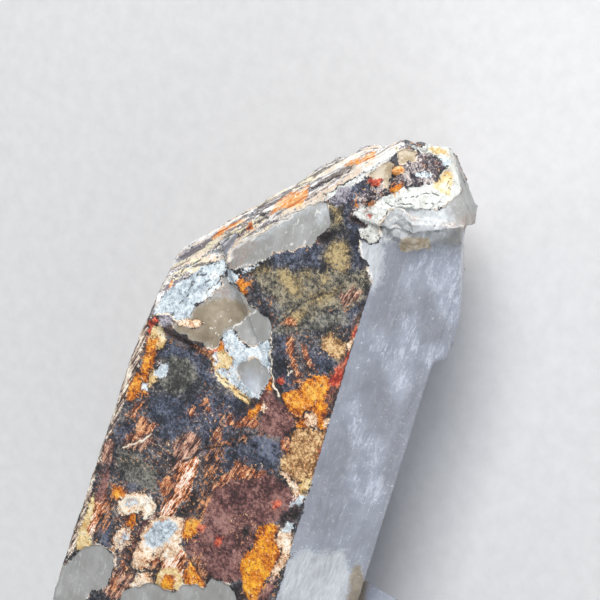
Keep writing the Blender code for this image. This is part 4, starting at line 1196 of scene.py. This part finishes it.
# %% The coats
# Name, softness, fine and wide raggedness, cover, noise, and the dark, middle and light tone
COATS = [
    ("blue_grey", 0.5, 1.8, 0.5, 0.84, tone, (20, 23, 33), (54, 61, 78), (106, 114, 134)),
    ("grey", 0.5, 1.8, 0.4, 0.84, tone, (54, 55, 53), (100, 100, 94), (150, 147, 137)),
    ("olive", 0.5, 2.0, 0.5, 0.86, tone, (50, 49, 45), (112, 107, 96), (170, 160, 134)),
    ("ochre", 0.8, 2.2, 0.3, 0.86, tone, (96, 84, 60), (150, 131, 92), (192, 171, 124)),
    ("brown", 0.2, 1.8, 0.3, 0.82, streak_tone, (46, 32, 34), (132, 84, 70), (222, 176, 150)),
    ("rust", 0.14, 1.7, 0.15, 0.84, streak_tone, (84, 42, 32), (190, 104, 60), (240, 188, 140)),
    ("maroon", 0.12, 1.3, 0.1, 0.95, tone, (54, 32, 35), (116, 76, 74), (164, 122, 114)),
    ("cap_coat", 0.12, 1.8, 0.1, 0.92, tone, (36, 33, 42), (102, 93, 100), (216, 205, 200)),
    ("thin_streaks", 0.3, 1.8, 0.3, 0.72, streak_tone, (26, 18, 20), (92, 54, 44), (230, 160, 110)),
    ("streaked", 0.25, 1.4, 0.1, 0.97, streak_tone, (66, 24, 16), (236, 138, 66), (255, 250, 238)),
    ("speckled", 0.5, 2.2, 0.5, 0.40, grain_tone, (70, 36, 26), (190, 116, 70), (252, 226, 186)),
    ("sand", 0.15, 1.4, 0.1, 0.92, tone, (108, 74, 44), (192, 146, 96), (238, 208, 158)),
    ("tip_bands", 0.12, 1.0, 0.0, 1.0, strip_tone, (128, 120, 124), (230, 226, 222), (254, 253, 251)),
    ("edge_bands", 0.12, 1.4, 0.0, 1.0, streak_tone, (60, 48, 50), (184, 158, 140), (250, 242, 226)),
    ("chalk", 0.1, 1.2, 0.05, 1.0, smooth_tone, (176, 174, 166), (226, 230, 226), (248, 250, 249)),
    ("violet", 0.3, 1.4, 0.1, 0.88, tone, (70, 70, 82), (130, 126, 140), (188, 183, 192)),
    ("orange", 0.12, 1.7, 0.1, 0.94, bright_tone, (112, 44, 14), (218, 122, 12), (252, 192, 78)),
    ("strip_orange", 0.15, 1.4, 0.0, 0.94, strip_tone, (190, 96, 40), (230, 146, 62), (252, 212, 160)),
    ("yellow", 0.12, 1.5, 0.1, 0.94, bright_tone, (112, 40, 6), (218, 122, 4), (254, 190, 44)),
    ("red", 0.1, 1.4, 0.0, 0.96, tone, (104, 24, 20), (184, 60, 40), (224, 126, 94)),
    ("pale_yellow", 0.14, 1.4, 0.05, 0.97, smooth_tone, (200, 158, 92), (240, 216, 162), (254, 249, 232)),
    ("cream", 0.14, 2.0, 0.05, 1.0, bright_tone, (184, 128, 88), (240, 212, 180), (255, 249, 238)),
    # The white row also paints the glint in the edge gap and the glint on the cap coat.
    ("white", 0.1, 1.5, 0.05, 1.0, bright_tone, (118, 130, 142), (198, 211, 220), (242, 247, 250)),
    # The black row is dark coat and holes, and also painted shade under the ledge and under the cap's corner.
    ("black_coat_and_painted_shade", 0.16, 1.6, 0.05, 0.96, tone, (16, 13, 15), (40, 33, 36), (96, 78, 78)),
    ("rusty_specks", 0.5, 2.2, 0.5, 0.40, grain_tone, (56, 22, 18), (200, 96, 46), (250, 214, 158)),
]
HOLE_START = 0.36
HOLE_STEP = 0.4
# How far, in millimetres, a coat's dust is scattered beyond its edge
DUSTY = {"olive": 1.6, "ochre": 1.8, "brown": 1.6, "rust": 1.8, "thin_streaks": 1.4, "streaked": 1.0,
         "sand": 1.0, "orange": 1.2, "cream": 0.9, "pale_yellow": 0.8, "maroon": 1.0, "black_coat_and_painted_shade": 0.9,
         "red": 0.7}
PALER_INWARDS = ("streaked", "orange", "yellow", "sand", "cream", "pale_yellow", "rust",
                 "olive", "ochre")
for number, (name, softness, raggedness, wide_share, cover, mottle, *tones) in enumerate(COATS):
    edge = maths("MULTIPLY_ADD", edge_noise, raggedness, stored(name))
    edge = maths("MULTIPLY_ADD", wide_noise, wide_share, edge)
    share = between(edge, -softness, softness)
    worn = wear[number % len(wear)]
    if name in DUSTY:
        dust = maths("MULTIPLY", between(edge, -DUSTY[name], 0.1), between(worn, 0.56, 0.60))
        share = maths("MAXIMUM", share, maths("MULTIPLY", dust, 0.85))
    if cover < 1.0:
        limit = HOLE_START + HOLE_STEP * (1.0 - cover)
        share = maths("MULTIPLY", share, between(worn, limit - 0.04, limit + 0.02))
    if name in PALER_INWARDS:
        mottle = maths("ADD", mottle, maths("MULTIPLY_ADD", between(edge, 0.0, 1.1), 0.16, -0.09))
    dark, middle, light = tones
    skin_colour = mixed(share, skin_colour, ramp(mottle, (0.26, dark), (0.5, middle), (0.74, light)))
print("coats:", len(COATS), " nodes so far:", len(tree.nodes))

# %% Bands of other tones on the strip beside the tip
BAND_TONES = [(0.0, (122, 116, 128)), (3.0, (236, 214, 192)), (6.0, (240, 230, 198)), (9.0, (100, 92, 94)),
              (12.0, (252, 251, 249))]
bands_here = patch("tip_bands", 0.12)
bands_here = maths("MULTIPLY", bands_here, maths("SUBTRACT", 1.0, patch("strip_orange")))
bands_here = maths("MULTIPLY", bands_here, between(tone, 0.30, 0.46))
along_strip = drawn_out(strip_run, 9.0)
for offset, band_tone in BAND_TONES:
    place = add("Mapping", {"Vector": along_strip, "Location": (offset, offset, 0.0)}).outputs[0]
    band = between(noise_of(2.4, 3.0, 0.6, place), 0.55, 0.575)
    band_share = maths("MULTIPLY", maths("MULTIPLY", bands_here, band), 0.9)
    skin_colour = mixed(band_share, skin_colour, linear(*band_tone))
print("tones of band:", len(BAND_TONES))

# %% Pores, cracks and the pale rim of the skin
pits = maths("MAXIMUM", between(pores, 0.24, 0.10), maths("MULTIPLY", between(small_pores, 0.22, 0.08), 0.7))
pits = maths("MULTIPLY", pits, between(blotches, 0.40, 0.60))
skin_colour = mixed(maths("MULTIPLY", pits, 0.42), skin_colour, linear(34, 28, 30))
nearest_smooth = maths("MAXIMUM", stored("white"), maths("MAXIMUM", stored("chalk"), stored("cream")))
smooth_coats = between(nearest_smooth, -0.05, 0.05)
crack_tint = maths("MULTIPLY_ADD", smooth_coats, 0.24, 0.08)
skin_colour = mixed(maths("MULTIPLY", fine_cracks, crack_tint), skin_colour, linear(62, 54, 54))
crack_share = between(maths("MULTIPLY_ADD", edge_noise, 0.5, stored("crack")), 0.42, 0.85)
skin_colour = mixed(maths("MULTIPLY", crack_share, 0.85), skin_colour, linear(34, 30, 34))
skin_colour = mixed(ridge_share, skin_colour, ramp(fine, (0.4, (222, 200, 168)), (0.6, (248, 244, 234))))
bare_edge = maths("MULTIPLY_ADD", edge_noise, 0.8, stored("bare"))
bare_share = between(bare_edge, -0.05, 0.05)
rim = maths("MULTIPLY", between(bare_edge, -0.28, -0.16), between(maths("ADD", blotches, clouds), 1.0, 1.1))
rim = maths("MULTIPLY", rim, maths("SUBTRACT", 1.0, patch("black_coat_and_painted_shade", 0.3)))
skin_colour = mixed(rim, skin_colour, ramp(fine, (0.4, (222, 190, 160)), (0.6, (248, 242, 232))))
colour = mixed(bare_share, skin_colour, quartz)
tree.links.new(colour, shader.inputs["Base Color"])

# %% [markdown]
# ### Gloss, light through the crystal and fine bump
# The quartz is glossy and partly clear, the skin dull and closed. Light that goes through is bent by
# quartz's own refractive index and loses a little on its way, more over a longer path. Grain that is
# finer than the triangles is left to a bump, and every step, crack and lump is in the mesh already.

# %% Gloss and transmission
skin_gloss = maths("MULTIPLY_ADD", grainy, 0.4, 0.38)
quartz_gloss = maths("MULTIPLY_ADD", blotches, 0.25, maths("MULTIPLY_ADD", clear_share, -0.14, 0.22))
quartz_gloss = maths("MULTIPLY_ADD", frost_and_painted_light, 0.2, quartz_gloss)
tree.links.new(blend_of(bare_share, skin_gloss, quartz_gloss), shader.inputs["Roughness"])
through = maths("MULTIPLY_ADD", wisp, -0.22, maths("MULTIPLY_ADD", clear_share, 0.16, 0.28))
VEILS = ((frost_and_painted_light, -0.7), (tan, -0.5), (buff, -0.8), (milky, -0.25), (specks, -0.8), (ridge_share, -0.7))
for veil, loss in VEILS:
    through = maths("MULTIPLY", through, maths("MULTIPLY_ADD", veil, loss, 1.0))
tree.links.new(maths("MULTIPLY", bare_share, through), shader.inputs["Transmission Weight"])
QUARTZ_IOR = 1.544
shader.inputs["IOR"].default_value = QUARTZ_IOR

# %% Fine bump and absorption
rough_skin = maths("MULTIPLY_ADD", fine, 0.6, maths("MULTIPLY_ADD", between(pores, 0.24, 0.10), -0.3, grainy))
rough_skin = maths("MULTIPLY", rough_skin, maths("MULTIPLY_ADD", smooth_coats, -0.55, 1.0))
fine_height = blend_of(between(stored("bare"), -0.1, 0.1), rough_skin, maths("MULTIPLY", grainy, 0.06))
bump = add("Bump", {"Height": fine_height, "Strength": 0.8, "Distance": 0.26 * MM})
tree.links.new(bump.outputs["Normal"], shader.inputs["Normal"])
absorption = add("VolumeAbsorption", {"Color": linear(214, 214, 232), "Density": 18.0})
tree.links.new(absorption.outputs[0], tree.nodes["Material Output"].inputs["Volume"])
crystal_mesh.materials.clear()
crystal_mesh.materials.append(material)
print("nodes in the material:", len(tree.nodes))

# %% [markdown]
# ## Floor and light
# A plain pale floor lies under the specimen. A soft square lamp beyond the tip and above it gives the
# front face its brightness and lets the relief cast small shadows. A wider one from the right lifts the
# right face, one from the left the long left edge, and a dim pale sky fills what is left. A bare sun
# lamp would be simpler, but its shadows are hard and it puts no soft sheen on the quartz.

# %% Floor
# The helpers build in whichever tree is called tree, at the coordinates called spot
FLOOR_SIZE = 3.0
floor_mesh = bpy.data.meshes.new("floor")
bm = bmesh.new()
bmesh.ops.create_grid(bm, x_segments=1, y_segments=1, size=FLOOR_SIZE / 2)
bm.to_mesh(floor_mesh)
bm.free()
floor = bpy.data.objects.new("floor", floor_mesh)
bpy.context.scene.collection.objects.link(floor)
paper = bpy.data.materials.new("pale_paper")
paper.use_nodes = True
tree = paper.node_tree
spot = add("TexCoord").outputs["Object"]
paper_tone = ramp(noise_of(3.0, 4.0), (0.3, (214, 215, 217)), (0.7, (222, 223, 225)))
tree.links.new(paper_tone, tree.nodes["Principled BSDF"].inputs["Base Color"])
tree.nodes["Principled BSDF"].inputs["Roughness"].default_value = 0.85
floor_mesh.materials.append(paper)
print("floor in metres:", FLOOR_SIZE)


# %% Lamps
def soft_lamp(name, direction, distance, size, watts, tone=(1.0, 1.0, 1.0)):
    """A square lamp that faces the specimen from a direction."""
    lamp = bpy.data.objects.new(name, bpy.data.lights.new(name, "AREA"))
    bpy.context.scene.collection.objects.link(lamp)
    lamp.data.size = size
    lamp.data.energy = watts
    lamp.data.color = tone
    middle = (Vector(cad_low) + Vector(cad_high)) / 2
    lamp.location = middle + Vector(direction).normalized() * distance
    lamp.rotation_mode = "QUATERNION"
    lamp.rotation_quaternion = (middle - lamp.location).to_track_quat("-Z", "Y")


soft_lamp("key", (0.2, 1.0, 0.95), 0.7, 0.30, 5.0, (1.0, 0.99, 0.97))
soft_lamp("fill", (1.0, -0.5, 0.6), 0.9, 0.6, 2.2, (0.96, 0.98, 1.0))
soft_lamp("left", (-1.0, -0.3, 0.5), 0.9, 0.4, 1.6)
world = bpy.data.worlds.new("studio")
bpy.context.scene.world = world
world.use_nodes = True
world.node_tree.nodes["Background"].inputs["Color"].default_value = (0.86, 0.88, 0.92, 1.0)
world.node_tree.nodes["Background"].inputs["Strength"].default_value = 0.30
bpy.context.scene.view_settings.view_transform = "Standard"
print("lamps:", len(bpy.data.lights))
